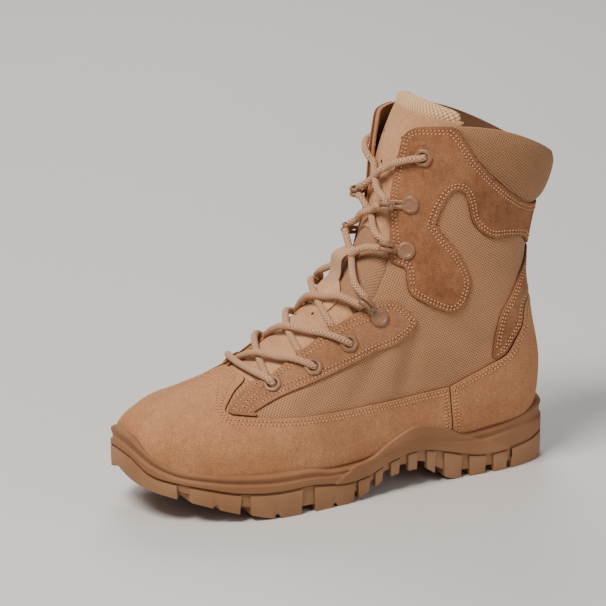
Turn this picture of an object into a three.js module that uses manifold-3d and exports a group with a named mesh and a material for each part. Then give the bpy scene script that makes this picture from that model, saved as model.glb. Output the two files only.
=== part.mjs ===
// Combat boot for the left foot, in millimetres.
// The heel points along +X, the toe along -X, the outer side of the foot along -Y, and +Z is up.
// The ground is z = 0. While it is made, the middle of the sole's length is x = 0, and at the end the
// whole boot is set with the middle of its bounding box over the origin.
import * as THREE from "three";
import { mergeVertices } from "three/addons/utils/BufferGeometryUtils.js";
import Module from "manifold-3d";

const wasm = await Module();
wasm.setup();

// Driving dimensions
const soleLength = 305;
const ballWidth = 107;
const soleThickness = 20; // ground to footbed under the ball
const heelHeight = 27; // ground to footbed under the heel
const toeSpring = 12; // how much higher the footbed is at the toe than at the ball
const instepHeight = 98; // footbed to the top of the instep
const shaftHeight = 237; // ground to the front of the collar
const sidewallHeight = 24; // footbed to the top of the toe bumper
const upperWall = 2.4;
const overlayThickness = 1.5;
const padThickness = 4;
const clearance = 0.3;
const midsoleFloor = 5;
const rimWidth = 4; // where the midsole's sidewall stands on the outsole
const stepDepth = 1.2;
const lugDepth = 5;
const lugReach = 19; // from the sole's edge inwards
const boardThickness = 3.2;
const footbedThickness = 5.5;
const tongueThickness = 5;
const tongueHeight = 20; // above the front of the collar
const tongueLean = 16; // how far its top leans back
const throatGap = 58; // between the flaps at the instep
const eyeletFlange = 12;
const eyeletBore = 6;
const eyeletWall = 1;
const hookDisc = 12;
const hookStrap = 7;
const hookGauge = 1.4;
const laceThickness = 4.6;
const hookSink = 0.8; // the disc starts this far under the leather's face and is cut to its curve
const tabThickness = 1.6;
const webbingThickness = 1.8;
const rollThickness = 8;

// How finely the surfaces are divided
const ringPoints = 20;
const curveSteps = 1;

const halfLength = soleLength / 2;
const clamp = THREE.MathUtils.clamp;

// The last, one row for each section from the toe to the collar. Each section is a plane through a
// point on the front line and a point on the bottom or back line. Places along the foot are shares
// of the sole's length from the heel, rises are shares from the footbed to the collar's front, and
// half widths are shares of the ball width. lowPower and highPower square off the section's two ends.
const lastColumns = [
  "frontAt", "frontRise", "backAt", "backRise", "outer", "inner",
  "lowPower", "highPower", "widest", "swing", "arch",
];
const lastRows = [
  [0.984, 0.073, 0.984, 0.045, 0.028, 0.028, 2.2, 2.0, 0.50, 0.075, 0],
  [0.975, 0.109, 0.975, 0.013, 0.178, 0.140, 2.4, 2.0, 0.44, 0.075, 0],
  [0.959, 0.146, 0.959, 0, 0.271, 0.215, 2.8, 2.1, 0.40, 0.070, 0],
  [0.928, 0.182, 0.928, 0, 0.340, 0.285, 3.2, 2.2, 0.36, 0.061, 0],
  [0.879, 0.224, 0.879, 0, 0.421, 0.370, 3.8, 2.2, 0.32, 0.047, 0],
  [0.803, 0.261, 0.803, 0, 0.463, 0.410, 4.4, 2.2, 0.30, 0.028, 0],
  [0.715, 0.312, 0.708, 0, 0.481, 0.430, 4.6, 2.2, 0.30, 0.005, 0],
  [0.646, 0.378, 0.630, 0, 0.472, 0.425, 5.0, 2.2, 0.30, -0.005, 0],
  [0.574, 0.457, 0.534, 0, 0.444, 0.388, 5.0, 2.2, 0.32, -0.009, 0],
  [0.508, 0.549, 0.433, 0, 0.411, 0.360, 5.0, 2.2, 0.34, -0.009, 0],
  [0.459, 0.625, 0.318, 0, 0.388, 0.360, 5.4, 2.2, 0.38, -0.005, 0],
  [0.430, 0.683, 0.170, 0, 0.379, 0.369, 5.0, 2.2, 0.42, 0, 0],
  [0.413, 0.728, 0.046, 0.007, 0.388, 0.383, 2.6, 2.2, 0.45, 0, 0],
  [0.405, 0.765, 0.020, 0.163, 0.393, 0.393, 2.3, 2.2, 0.48, 0, 0],
  [0.398, 0.806, 0.039, 0.331, 0.397, 0.397, 2.2, 2.2, 0.50, 0, 0.005],
  [0.393, 0.857, 0.056, 0.490, 0.407, 0.407, 2.2, 2.2, 0.50, 0, 0.014],
  [0.387, 0.922, 0.039, 0.658, 0.421, 0.421, 2.2, 2.2, 0.50, 0, 0.033],
  [0.377, 1.000, -0.007, 0.835, 0.439, 0.439, 2.2, 2.2, 0.50, 0, 0.061],
];
const instepRow = 8;
const sectionsAlong = [
  0, 0.6, 1.3, 2, 3, 4, 5, 6, 7, 8, 9, 10, 11, 11.6, 12.2, 12.8, 13.5, 14.3, 15.1, 16, 17,
];

// The sole's outline, and the heights of its side. Half widths are shares of the ball width. top is
// the midsole's upper edge above the footbed and step the ledge under its band, as shares of the
// sidewall height. low, the line between midsole and outsole, and ground are shares of the
// footbed's height.
const soleColumns = ["at", "outer", "inner", "top", "step", "low", "ground"];
const soleRows = [
  [0, 0, 0, 0.56, 0.10, 0.74, 0.15],
  [0.013, 0.150, 0.150, 0.54, 0.08, 0.70, 0.04],
  [0.039, 0.243, 0.243, 0.51, 0.05, 0.66, 0],
  [0.082, 0.308, 0.308, 0.41, 0.02, 0.58, 0],
  [0.148, 0.350, 0.346, 0.23, -0.04, 0.51, 0],
  [0.200, 0.357, 0.338, 0.19, -0.13, 0.52, 0],
  [0.246, 0.360, 0.327, 0.20, -0.05, 0.64, 0],
  [0.290, 0.366, 0.313, 0.42, 0.08, 0.82, 0.08],
  [0.344, 0.379, 0.299, 0.61, 0.30, 1.04, 0.48],
  [0.390, 0.398, 0.300, 0.65, 0.33, 1.10, 0.56],
  [0.443, 0.421, 0.304, 0.50, 0.22, 1.00, 0.52],
  [0.490, 0.446, 0.330, 0.30, 0.06, 0.80, 0.26],
  [0.541, 0.472, 0.364, 0.24, 0.03, 0.72, 0.02],
  [0.590, 0.492, 0.403, 0.26, 0.05, 0.78, 0],
  [0.639, 0.509, 0.439, 0.40, 0.12, 0.88, 0],
  [0.721, 0.519, 0.481, 0.41, 0.13, 0.86, 0.02],
  [0.803, 0.486, 0.491, 0.45, 0.17, 0.93, 0.30],
  [0.869, 0.421, 0.458, 0.46, 0.19, 1.03, 0.53],
  [0.925, 0.327, 0.393, 0.46, 0.19, 1.04, 0.66],
  [0.967, 0.226, 0.299, 0.64, 0.32, 1.07, 0.73],
  [0.990, 0.095, 0.206, 0.92, 0.55, 1.28, 0.82],
  [1.000, -0.056, 0.075, 1.00, 0.66, 1.34, 0.98],
];

// Lugs along each side of the tread: where each starts and ends along the sole
const sideLugs = [
  [-0.02, 0.125], [0.134, 0.172], [0.190, 0.232], [0.250, 0.296], [0.490, 0.522], [0.530, 0.576],
  [0.590, 0.642], [0.662, 0.722], [0.738, 0.784], [0.800, 0.852], [0.866, 0.908], [0.922, 1.02],
];
// Ribs on the side of the arch
const archRibs = [[0.318, 0.341], [0.365, 0.390], [0.412, 0.436], [0.456, 0.477]];
// Lugs down the middle of the tread
const centreLugs = [0.085, 0.160, 0.235, 0.555, 0.627, 0.699, 0.771, 0.843, 0.905];
const centreLugLength = 11;
const centreLugSweep = 9;

// Outlines seen from the side, as stretches of [share of the length, share of the rise]. Stretches
// meet at corners, and a stretch with more than two points is a smooth curve.
const throatEnd = [[0.725, 0.312], [0.733, 0.289], [0.767, 0.261], [0.793, 0.234]];
const vampNose = [[0.793, 0.234], [0.801, 0.222], [0.795, 0.212]];
const randTop = [[0.795, 0.212], [0.695, 0.204], [0.590, 0.202], [0.420, 0.197], [0.292, 0.193]];
const counterSeam = [[0.292, 0.193], [0.286, 0.115], [0.275, 0.0]];
const vampOutline = [
  [[1.1, 0.6], [0.725, 0.6]],
  [[0.725, 0.6], [0.725, 0.312]],
  throatEnd,
  vampNose,
  randTop,
  counterSeam,
  [[0.275, 0], [0.275, -0.2]],
  [[0.275, -0.2], [1.1, -0.2]],
  [[1.1, -0.2], [1.1, 0.6]],
];
const counterTop = [
  [0.290, 0.192], [0.269, 0.201], [0.223, 0.220], [0.191, 0.236], [0.150, 0.257],
  [0.127, 0.299], [0.106, 0.340], [0.097, 0.388], [0.079, 0.408], [0.026, 0.415],
];
const counterOutline = [
  [[-0.2, 0.415], [-0.2, -0.2]],
  [[-0.2, -0.2], [0.273, -0.2]],
  [[0.273, -0.2], [0.273, 0.0]],
  [[0.273, 0.0], [0.284, 0.115], [0.290, 0.192]],
  counterTop,
  [[0.026, 0.415], [-0.2, 0.415]],
];
const stayOutline = [
  [[-0.2, 0.417], [0.026, 0.417]],
  [[0.026, 0.417], [0.080, 0.410], [0.099, 0.390], [0.108, 0.342], [0.129, 0.304], [0.152, 0.265],
    [0.186, 0.247]],
  [[0.186, 0.247], [0.183, 0.305], [0.178, 0.348], [0.166, 0.398], [0.148, 0.427]],
  [[0.148, 0.427], [0.134, 0.454], [0.113, 0.494], [0.089, 0.518], [0.066, 0.541], [0.026, 0.552]],
  [[0.026, 0.552], [-0.2, 0.555]],
  [[-0.2, 0.555], [-0.2, 0.417]],
];
const eyestayOutline = [
  [[0.748, 0.221], [0.717, 0.241], [0.668, 0.269], [0.578, 0.308], [0.468, 0.352], [0.417, 0.365]],
  [[0.417, 0.365], [0.381, 0.389], [0.366, 0.418], [0.379, 0.448], [0.406, 0.482], [0.430, 0.492],
    [0.462, 0.490]],
  [[0.462, 0.490], [0.520, 0.700]],
  [[0.520, 0.700], [0.716, 0.500]],
  [[0.716, 0.500], [0.716, 0.300]],
  [[0.716, 0.300], [0.750, 0.236], [0.748, 0.221]],
];
const padEdge = [
  [0.285, 1.000], [0.264, 0.954], [0.233, 0.882], [0.181, 0.803], [0.131, 0.747], [0.085, 0.715],
  [0.026, 0.700],
];
const shaftOutline = [
  [[-0.2, 0.700], [-0.2, 0.564]],
  [[-0.2, 0.564], [0.026, 0.564]],
  [[0.026, 0.564], [0.070, 0.574], [0.107, 0.614], [0.155, 0.628], [0.192, 0.637], [0.220, 0.662],
    [0.240, 0.700], [0.249, 0.751], [0.260, 0.788], [0.274, 0.803], [0.292, 0.793], [0.308, 0.753],
    [0.318, 0.705]],
  [[0.318, 0.705], [0.294, 0.654], [0.270, 0.609], [0.251, 0.556], [0.242, 0.518], [0.244, 0.486],
    [0.257, 0.442], [0.285, 0.423], [0.330, 0.453], [0.373, 0.498], [0.380, 0.541], [0.380, 0.576],
    [0.404, 0.596], [0.426, 0.632]],
  [[0.426, 0.632], [0.560, 0.700]],
  [[0.560, 0.700], [0.560, 1.400]],
  [[0.560, 1.400], [0.285, 1.400]],
  [[0.285, 1.400], [0.285, 1.000]],
  padEdge,
  [[0.026, 0.700], [-0.2, 0.700]],
];
const padOutline = [
  [[-0.2, 0.705], [0.026, 0.705]],
  [[0.026, 0.705], [0.083, 0.720], [0.129, 0.752], [0.179, 0.808], [0.231, 0.886], [0.262, 0.957],
    [0.282, 1.000]],
  [[0.282, 1.000], [0.282, 1.400]],
  [[0.282, 1.400], [-0.2, 1.400]],
  [[-0.2, 1.400], [-0.2, 0.705]],
];

// The throat seen square to the line from the vamp to the collar: share of the way up, and half the
// gap as a share of the gap at the instep.
const throatRows = [
  [-0.015, 0.72], [0.01, 0.86], [0.10, 0.90], [0.26, 0.95], [0.38, 1.06], [0.45, 1.06],
  [0.58, 0.88], [0.65, 0.72], [0.74, 0.57], [0.81, 0.55], [0.89, 0.61], [1.0, 0.68], [1.3, 0.76],
];
const tongueRows = [
  [-0.12, 0.90], [0.10, 1.18], [0.45, 1.30], [0.70, 1.20], [0.90, 1.22], [1.015, 1.24],
];
const rollRows = [[1.02, 1.24], [1.08, 1.22], [1.13, 1.06]];
// The D-shaped tab and the webbing keeper on the tongue
const tabRows = [[0.435, 0.20], [0.445, 0.42], [0.475, 0.56], [0.530, 0.58]];
const keeperRows = [[0.560, 0.24], [0.700, 0.24]];

// Eyelets and hooks on the outer side, from the toe up: share of the length, share of the rise
const eyeletPlaces = [[0.694, 0.288], [0.609, 0.333], [0.526, 0.390], [0.341, 0.913]];
const hookPlaces = [[0.452, 0.450], [0.374, 0.629], [0.362, 0.770]];
const hookTips = [[0.485, 0.500], [0.418, 0.645], [0.396, 0.768]];

// A smooth curve through the rows of a table, at row number t
function between(rows, t) {
  const i = clamp(Math.floor(t), 0, rows.length - 2);
  const f = t - i;
  const [p1, p2] = [rows[i], rows[i + 1]];
  return p1.map((value, k) => {
    const before = i > 0 ? rows[i - 1][k] : 2 * value - p2[k];
    const after = i < rows.length - 2 ? rows[i + 2][k] : 2 * p2[k] - value;
    const slope = p2[k] - before;
    const bend = 2 * before - 5 * value + 4 * p2[k] - after;
    return 0.5 * (2 * value + slope * f + bend * f * f + (3 * value - before - 3 * p2[k] + after) * f ** 3);
  });
}

function named(columns, values) {
  return Object.fromEntries(columns.map((name, k) => [name, values[k]]));
}

// Height of the footbed at a share of the length: heel lift behind, toe spring in front
function footbed(at) {
  const heel = THREE.MathUtils.smoothstep(-at, -0.57, -0.1);
  const toe = Math.max(0, (at - 0.74) / 0.26);
  return soleThickness + (heelHeight - soleThickness) * heel + toeSpring * toe ** 2.2;
}

const collarRise = shaftHeight - footbed(lastRows.at(-1)[0]);
const instepShare = lastRows[instepRow][1];

// Height above the ground of a rise share at a place along the foot
function heightOf(at, rise) {
  const low = Math.min(rise, instepShare) / instepShare;
  const high = Math.max(rise - instepShare, 0) / (1 - instepShare);
  return footbed(at) + low * instepHeight + high * (collarRise - instepHeight);
}

function sidePoint(at, rise) {
  return new THREE.Vector2(halfLength - at * soleLength, heightOf(at, rise));
}

// The last's surface at section t and angle a: 0 is the front line, half a turn is the back line,
// and positive angles are on the outer side.
function lastPoint(t, a) {
  const row = named(lastColumns, between(lastRows, t));
  const high = Math.cos(a) >= 0;
  const power = high ? row.highPower : row.lowPower;
  const along = Math.abs(Math.cos(a)) ** (2 / power);
  const across = Math.abs(Math.sin(a)) ** (2 / power);
  const w = high ? row.widest + (1 - row.widest) * along : row.widest * (1 - along);
  const outerSide = Math.sin(a) >= 0;
  const y = row.swing + (outerSide ? -row.outer : row.inner) * across;
  const front = sidePoint(row.frontAt, row.frontRise);
  const back = sidePoint(row.backAt, row.backRise);
  const lift = row.arch * collarRise * 4 * w * (1 - w);
  const z = back.y + (front.y - back.y) * w + lift;
  return new THREE.Vector3(back.x + (front.x - back.x) * w, y * ballWidth, z);
}

function lastNormal(t, a) {
  const e = 0.002;
  const round = lastPoint(t, a + e).sub(lastPoint(t, a - e));
  const along = lastPoint(t + e, a).sub(lastPoint(t - e, a));
  return round.cross(along).normalize();
}

function offsetPoint(t, a, offset) {
  return lastPoint(t, a).addScaledVector(lastNormal(t, a), offset);
}

// Section and angle of the surface point nearest to a place seen from the outer side
function locate(at, rise) {
  const aim = sidePoint(at, rise);
  let best = { gap: Infinity, t: 0, a: 0 };
  let [span, spanAngle] = [lastRows.length / 2, Math.PI / 2];
  let [t0, a0] = [lastRows.length / 2, Math.PI / 2];
  for (let round = 0; round < 7; round += 1) {
    for (let i = -10; i <= 10; i += 1) {
      for (let j = -10; j <= 10; j += 1) {
        const t = clamp(t0 + (span * i) / 10, 0, lastRows.length);
        const a = clamp(a0 + (spanAngle * j) / 10, 0.02, Math.PI - 0.02);
        const p = lastPoint(t, a);
        const gap = Math.hypot(p.x - aim.x, p.z - aim.y);
        if (gap < best.gap) best = { gap, t, a };
      }
    }
    [t0, a0, span, spanAngle] = [best.t, best.a, span / 4, spanAngle / 4];
  }
  return best;
}

function solidOf(positions, triangles) {
  return new wasm.Manifold(new wasm.Mesh({
    numProp: 3,
    vertProperties: new Float32Array(positions),
    triVerts: new Uint32Array(triangles),
  }));
}

function solidFrom(geometry) {
  geometry.deleteAttribute("normal");
  geometry.deleteAttribute("uv");
  const merged = mergeVertices(geometry, 1e-4);
  return solidOf(merged.attributes.position.array, merged.index.array);
}

// A closed solid through rings of points, with a fan over each end
function loft(rings) {
  const count = rings[0].length;
  const points = rings.flat();
  const triangles = [];
  for (let i = 0; i < rings.length - 1; i += 1) {
    for (let j = 0; j < count; j += 1) {
      const [p, q] = [i * count + j, i * count + ((j + 1) % count)];
      triangles.push(p, q, q + count, p, q + count, p + count);
    }
  }
  for (const [row, flip] of [[0, true], [rings.length - 1, false]]) {
    const middle = new THREE.Vector3();
    rings[row].forEach((p) => middle.addScaledVector(p, 1 / count));
    points.push(middle);
    for (let j = 0; j < count; j += 1) {
      const [p, q] = [row * count + j, row * count + ((j + 1) % count)];
      triangles.push(...(flip ? [q, p, points.length - 1] : [p, q, points.length - 1]));
    }
  }
  const solid = solidOf(points.flatMap((p) => [p.x, p.y, p.z]), triangles);
  return solid.volume() > 0 ? solid : solidOf(points.flatMap((p) => [p.x, p.y, p.z]), triangles.reverse());
}

// The whole last, larger or smaller by an offset, and running on past the collar by some sections
function form(offset, past = 0) {
  const stations = past > 0 ? [...sectionsAlong, lastRows.length - 1 + past] : sectionsAlong;
  const rings = stations.map((t) => Array.from({ length: ringPoints }, (_, j) =>
    offsetPoint(t, ((j + 0.5) / ringPoints) * 2 * Math.PI, offset)));
  return loft(rings);
}

function shapeOf(stretches, place) {
  const shape = new THREE.Shape();
  const start = place(...stretches[0][0]);
  shape.moveTo(start.x, start.y);
  for (const stretch of stretches) {
    const points = stretch.map((p) => place(...p));
    if (points.length === 2) shape.lineTo(points[1].x, points[1].y);
    else shape.splineThru(points.slice(1));
  }
  return shape;
}

// A bar of the outline seen from the side, right through the boot or on one side of it
function sideBar(stretches, side = "both") {
  const reach = 2 * ballWidth;
  const depth = side === "both" ? 2 * reach : reach;
  const shape = shapeOf(stretches, sidePoint);
  const settings = { depth, bevelEnabled: false, curveSegments: curveSteps };
  const geometry = new THREE.ExtrudeGeometry(shape, settings);
  geometry.rotateX(Math.PI / 2);
  geometry.translate(0, side === "outer" ? 0 : reach, 0);
  return solidFrom(geometry);
}

// A bar through the front of the boot only, square to the line from the vamp's end to the collar. It
// reaches half the shaft's depth, so the heel and the back of the shaft stay whole.
const throatFoot = sidePoint(0.725, 0.305);
const throatHead = sidePoint(0.377, 1.0);
const throatLine = new THREE.Vector2().subVectors(throatHead, throatFoot);
const [collarFront, , collarBack] = lastRows.at(-1);
const shaftDepth = (collarFront - collarBack) * soleLength;
const tongueReach = 0.4; // the tongue's sides run this share of the shaft's depth back

function frontBar(rows, inwards) {
  const outwards = shaftDepth / 2;
  const half = throatGap / 2;
  const left = rows.map(([up, gap]) => new THREE.Vector2(-gap * half, up * throatLine.length()));
  const right = left.map((p) => new THREE.Vector2(-p.x, p.y)).reverse();
  const shape = new THREE.Shape();
  shape.moveTo(left[0].x, left[0].y);
  if (rows.length > 2) shape.splineThru(left.slice(1));
  else shape.lineTo(left[1].x, left[1].y);
  shape.lineTo(right[0].x, right[0].y);
  if (rows.length > 2) shape.splineThru(right.slice(1));
  else shape.lineTo(right[1].x, right[1].y);
  const geometry = new THREE.ExtrudeGeometry(shape, {
    depth: outwards + inwards, bevelEnabled: false, curveSegments: curveSteps,
  });
  geometry.translate(0, 0, -inwards);
  const up = new THREE.Vector3(throatLine.x, 0, throatLine.y).normalize();
  const side = new THREE.Vector3(0, -1, 0);
  const out = new THREE.Vector3().crossVectors(side, up);
  geometry.applyMatrix4(new THREE.Matrix4().makeBasis(side, up, out));
  geometry.translate(throatFoot.x, 0, throatFoot.y);
  return solidFrom(geometry);
}

// The space under a surface that follows the footbed at a height above it
function belowFootbed(above) {
  const stations = Array.from({ length: 24 }, (_, i) => -0.1 + (1.2 * i) / 23);
  const reach = 2 * ballWidth;
  return loft(stations.map((at) => {
    const x = halfLength - at * soleLength;
    const z = footbed(clamp(at, 0, 1)) + above;
    const corners = [[-reach, z], [reach, z], [reach, -reach], [-reach, -reach]];
    return corners.map(([y, h]) => new THREE.Vector3(x, y, h));
  }));
}

// One section of the sole: its side places and heights at row t
function soleSection(t) {
  const row = named(soleColumns, between(soleRows, t));
  const bed = footbed(row.at);
  const half = ((row.outer + row.inner) / 2) * ballWidth;
  return {
    x: halfLength - row.at * soleLength,
    middle: ((row.inner - row.outer) / 2) * ballWidth,
    half: Math.max(half, stepDepth * 2.5),
    bed,
    top: bed + row.top * sidewallHeight,
    step: bed + row.step * sidewallHeight,
    low: row.low * bed,
    ground: Math.max(row.ground, 0) * bed,
  };
}

const soleStations = soleRows.map((_, i) => i);

// A loft along the sole. profile gives [inset, height] from the bottom's middle out and up to the top's.
function soleLoft(profile) {
  return loft(soleStations.map((t) => {
    const s = soleSection(t);
    const side = profile(s);
    const shrink = Math.min(1, s.half / (rimWidth + 4));
    const outer = side.map(([inset, z]) => new THREE.Vector3(s.x, s.middle - s.half + inset * shrink, z));
    const inner = side.map(([inset, z]) => new THREE.Vector3(s.x, s.middle + s.half - inset * shrink, z));
    return [...outer, ...inner.reverse()];
  }));
}

function floorHeight(s) {
  return Math.min(s.low, s.bed - midsoleFloor);
}

function midsole(cavity) {
  const block = soleLoft((s) => [
    [rimWidth + 1, floorHeight(s)],
    [rimWidth, s.low],
    [0.5, s.low],
    [0, s.low + 1],
    [0, s.step],
    [stepDepth, s.step + 0.8],
    [stepDepth, s.top - 1.5],
    [stepDepth + 1.4, s.top],
  ]);
  return block.subtract(cavity);
}

// A bar seen from above, from one share of the length to another, with swept ends
function plan(points) {
  const shape = new THREE.Shape(points.map(([x, y]) => new THREE.Vector2(x, y)));
  const depth = 4 * heelHeight;
  const geometry = new THREE.ExtrudeGeometry(shape, { depth, bevelEnabled: false });
  geometry.translate(0, 0, -heelHeight);
  return solidFrom(geometry);
}

function edgeAt(at) {
  let t = 0;
  while (t < soleRows.length - 1.02 && between(soleRows, t)[0] < at) t += 0.02;
  return soleSection(t);
}

function sideLugPlans(spans, reach) {
  return spans.flatMap(([from, to]) => [-1, 1].map((side) => {
    const [x0, x1] = [from, to].map((at) => halfLength - at * soleLength);
    const [e0, e1] = [from, to].map((at) => edgeAt(clamp(at, 0.03, 0.97)));
    const outside = side * ballWidth;
    const inside = [e0, e1].map((e) => e.middle + side * Math.max(e.half - reach, 2));
    return plan([[x0, outside], [x1, outside], [x1, inside[1]], [x0, inside[0]]]);
  }));
}

function centreLugPlans() {
  return centreLugs.map((at) => {
    const e = edgeAt(at);
    const x = halfLength - at * soleLength;
    const half = Math.max(e.half - lugReach - 3, 4);
    const nose = Math.min(centreLugSweep, half);
    return plan([
      [x, e.middle - half], [x - nose, e.middle], [x, e.middle + half],
      [x + centreLugLength, e.middle + half], [x + centreLugLength - nose, e.middle],
      [x + centreLugLength, e.middle - half],
    ]);
  });
}

function outsole() {
  const lip = rimWidth - 2 * clearance;
  const inset = 2;
  const slab = soleLoft((s) => [
    [rimWidth + 2, Math.min(s.ground + lugDepth, floorHeight(s) - 2)],
    [inset, Math.min(s.ground + lugDepth, s.low - 3)],
    [inset, s.low - clearance],
    [lip, s.low - clearance],
    [lip + 1, floorHeight(s) - clearance],
  ]);
  const full = soleLoft((s) => [
    [rimWidth + 2, s.ground],
    [0.8, s.ground],
    [0, Math.min(s.ground + 1, s.low - 2)],
    [0, s.low - clearance - 0.2],
    [lip, s.low - clearance - 1],
    [lip + 1, floorHeight(s) - clearance - 1],
  ]);
  const sideBlocks = [...sideLugPlans(sideLugs, lugReach), ...sideLugPlans(archRibs, rimWidth)];
  const lugs = [...sideBlocks, ...centreLugPlans()];
  const tread = lugs.map((lug) => full.intersect(lug));
  return tread.reduce((sum, lug) => sum.add(lug), slab);
}

function insole() {
  const board = form(-clearance).intersect(belowFootbed(boardThickness));
  const bed = form(-upperWall - clearance).intersect(belowFootbed(footbedThickness));
  return board.add(bed);
}

const throat = frontBar(throatRows, shaftDepth / 2);

// A turned piece with its axis square to the surface at a place on one side
function placement(t, a, side, offset) {
  const angle = side === "outer" ? a : -a;
  const out = lastNormal(t, angle);
  const along = new THREE.Vector3(0, 0, 1).addScaledVector(out, -out.z).normalize();
  const across = new THREE.Vector3().crossVectors(along, out);
  const frame = new THREE.Matrix4().makeBasis(across, along, out);
  return frame.setPosition(offsetPoint(t, angle, offset));
}

function turned(profile, segments) {
  const geometry = new THREE.LatheGeometry(profile.map(([r, z]) => new THREE.Vector2(r, z)), segments);
  geometry.rotateX(Math.PI / 2);
  return geometry;
}

const surface = overlayThickness + clearance;
const barrelRadius = eyeletBore / 2 + eyeletWall;

function eyelet() {
  const bore = eyeletBore / 2;
  const flange = eyeletFlange / 2;
  const depth = surface + upperWall;
  return turned([
    [bore, -depth], [barrelRadius, -depth], [barrelRadius, clearance], [flange, clearance],
    [flange - 0.6, clearance + 1], [bore, clearance + 1], [bore, -depth],
  ], 10);
}

function eyeletHole() {
  const radius = barrelRadius + clearance;
  const [low, high] = [-3 * surface - upperWall, 3 * surface];
  return turned([[0, low], [radius, low], [radius, high], [0, high]], 10);
}

// A hook: a disc on the overlay and a strap that runs to the throat's edge and folds back over itself
function hook(reach) {
  const g = hookGauge;
  const z = -hookSink;
  const hookRise = g + hookSink + laceThickness + clearance;
  const disc = solidFrom(turned([[0, z], [hookDisc / 2, z], [hookDisc / 2, g], [0, g]], 12));
  const strap = new THREE.Shape([
    [0, z], [reach, z], [reach + g, z + g], [reach + g, z + hookRise], [reach, z + hookRise + g],
    [hookDisc / 2 + 1, z + hookRise + g], [hookDisc / 2 + 1, z + hookRise], [reach - 0.6, z + hookRise],
    [reach, z + hookRise - 0.6], [reach, g + 0.6], [reach - 0.6, g], [0, g],
  ].map(([x, y]) => new THREE.Vector2(x, y)));
  const geometry = new THREE.ExtrudeGeometry(strap, { depth: hookStrap, bevelEnabled: false });
  geometry.rotateX(Math.PI / 2);
  geometry.translate(0, hookStrap / 2, 0);
  return disc.add(solidFrom(geometry)).getMesh();
}

// A round cord along points
function cord(points, sides = 6) {
  const section = new THREE.Shape(Array.from({ length: sides }, (_, k) => {
    const angle = ((k + 0.5) / sides) * 2 * Math.PI;
    return new THREE.Vector2(Math.cos(angle), Math.sin(angle)).multiplyScalar(laceThickness / 2);
  }));
  const path = new THREE.CatmullRomCurve3(points);
  return solidFrom(new THREE.ExtrudeGeometry(section, {
    steps: points.length - 1, extrudePath: path, bevelEnabled: false,
  }));
}

const eyelets = eyeletPlaces.map((place) => locate(...place));
const hooks = hookPlaces.map((place) => locate(...place));
const hookEnds = hookTips.map((place) => locate(...place));

// The lace runs across the throat from each holder to the next one on the other side
function laces() {
  const ride = surface + 1 + laceThickness / 2 + 8 * clearance;
  const pastHook = laceThickness / 2 + hookGauge + 3 * clearance;
  const stops = hookEnds.map(({ t, a }) => {
    const perRadian = lastPoint(t, a + 0.01).distanceTo(lastPoint(t, a - 0.01)) / 0.02;
    return { t, a: a - pastHook / perRadian };
  });
  const ends = [...eyelets.slice(0, 3), ...stops, eyelets[3]];
  const crossing = (from, to, side) => {
    const [p, q] = [ends[from], ends[to]];
    const shares = [0, 0.2, 0.5, 0.8, 1];
    return shares.map((f) => {
      const t = p.t + (q.t - p.t) * f;
      const a = side * (p.a + (-q.a - p.a) * f);
      const over = ride + (f === 0.5 ? 0.8 * side : 0);
      return offsetPoint(t, a, over);
    });
  };
  const cords = [cord([1, 0.5, 0, -0.5, -1].map((f) => offsetPoint(ends[0].t, ends[0].a * f, ride)))];
  for (let i = 0; i < ends.length - 1; i += 1) {
    cords.push(cord(crossing(i, i + 1, 1)), cord(crossing(i, i + 1, -1)));
  }
  return cords.reduce((sum, one) => sum.add(one));
}

// The tongue lies under the flaps and leans back at its top
function tonguePoint(t, a, offset) {
  const top = lastRows.length - 1;
  const lean = Math.max(0, t - (top - 2.5)) / 3.5;
  return offsetPoint(t, a, offset).add(new THREE.Vector3(tongueLean * lean ** 2, 0, 0));
}

const topSection = lastRows.length - 1 + tongueHeight / 17;

function tongueForm(offset) {
  const halfWay = (lastRows.length - 1 + topSection) / 2;
  const stations = [...sectionsAlong.filter((t) => t > 4), halfWay, topSection];
  return loft(stations.map((t) => Array.from({ length: ringPoints }, (_, j) =>
    tonguePoint(t, ((j + 0.5) / ringPoints) * 2 * Math.PI, offset))));
}

const tongueFace = -upperWall - clearance;

function tongueLayer(outside, thickness, rows) {
  const shell = tongueForm(outside).subtract(tongueForm(outside - thickness));
  return shell.intersect(frontBar(rows, tongueReach * shaftDepth));
}

// A thin piece sewn on the tongue's face
function onTongue(thickness, rows) {
  return tongueLayer(tongueFace + clearance + thickness, thickness, rows);
}

function colour(hex, roughness, metalness = 0) {
  return new THREE.MeshStandardMaterial({ color: hex, roughness, metalness });
}

const suede = colour(0xb08d62, 0.95);
const fabric = colour(0xa58a66, 0.9);
const padded = colour(0x9c8468, 0.95);
const rubber = colour(0x8d6f4a, 0.75);
const foam = colour(0xa98a5f, 0.8);
const paintedMetal = colour(0x8f6f55, 0.4, 0.5);
const cordMaterial = colour(0xb59a86, 0.9);
const knit = colour(0xb3a184, 0.95);

const boot = new THREE.Group();

function geometryOf(mesh) {
  const geometry = new THREE.BufferGeometry();
  geometry.setAttribute("position", new THREE.Float32BufferAttribute(mesh.vertProperties, 3));
  geometry.setIndex(new THREE.Uint32BufferAttribute(mesh.triVerts, 1));
  return geometry;
}

function addPiece(name, solid, material) {
  const piece = new THREE.Mesh(geometryOf(solid.getMesh()), material);
  piece.name = name;
  boot.add(piece);
}

function placed(geometry, matrix) {
  return solidFrom(geometry.clone().applyMatrix4(matrix));
}

const base = form(0);
const seat = form(surface + clearance);
const openBelow = belowFootbed(boardThickness + clearance);
const overlayBlank = form(surface).subtract(form(clearance)).subtract(openBelow);
const sides = ["outer", "inner"];
const holes = sides.flatMap((side) =>
  eyelets.map(({ t, a }) => placed(eyeletHole(), placement(t, a, side, 0))));
const cutHoles = (solid) => holes.reduce((rest, hole) => rest.subtract(hole), solid);

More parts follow.
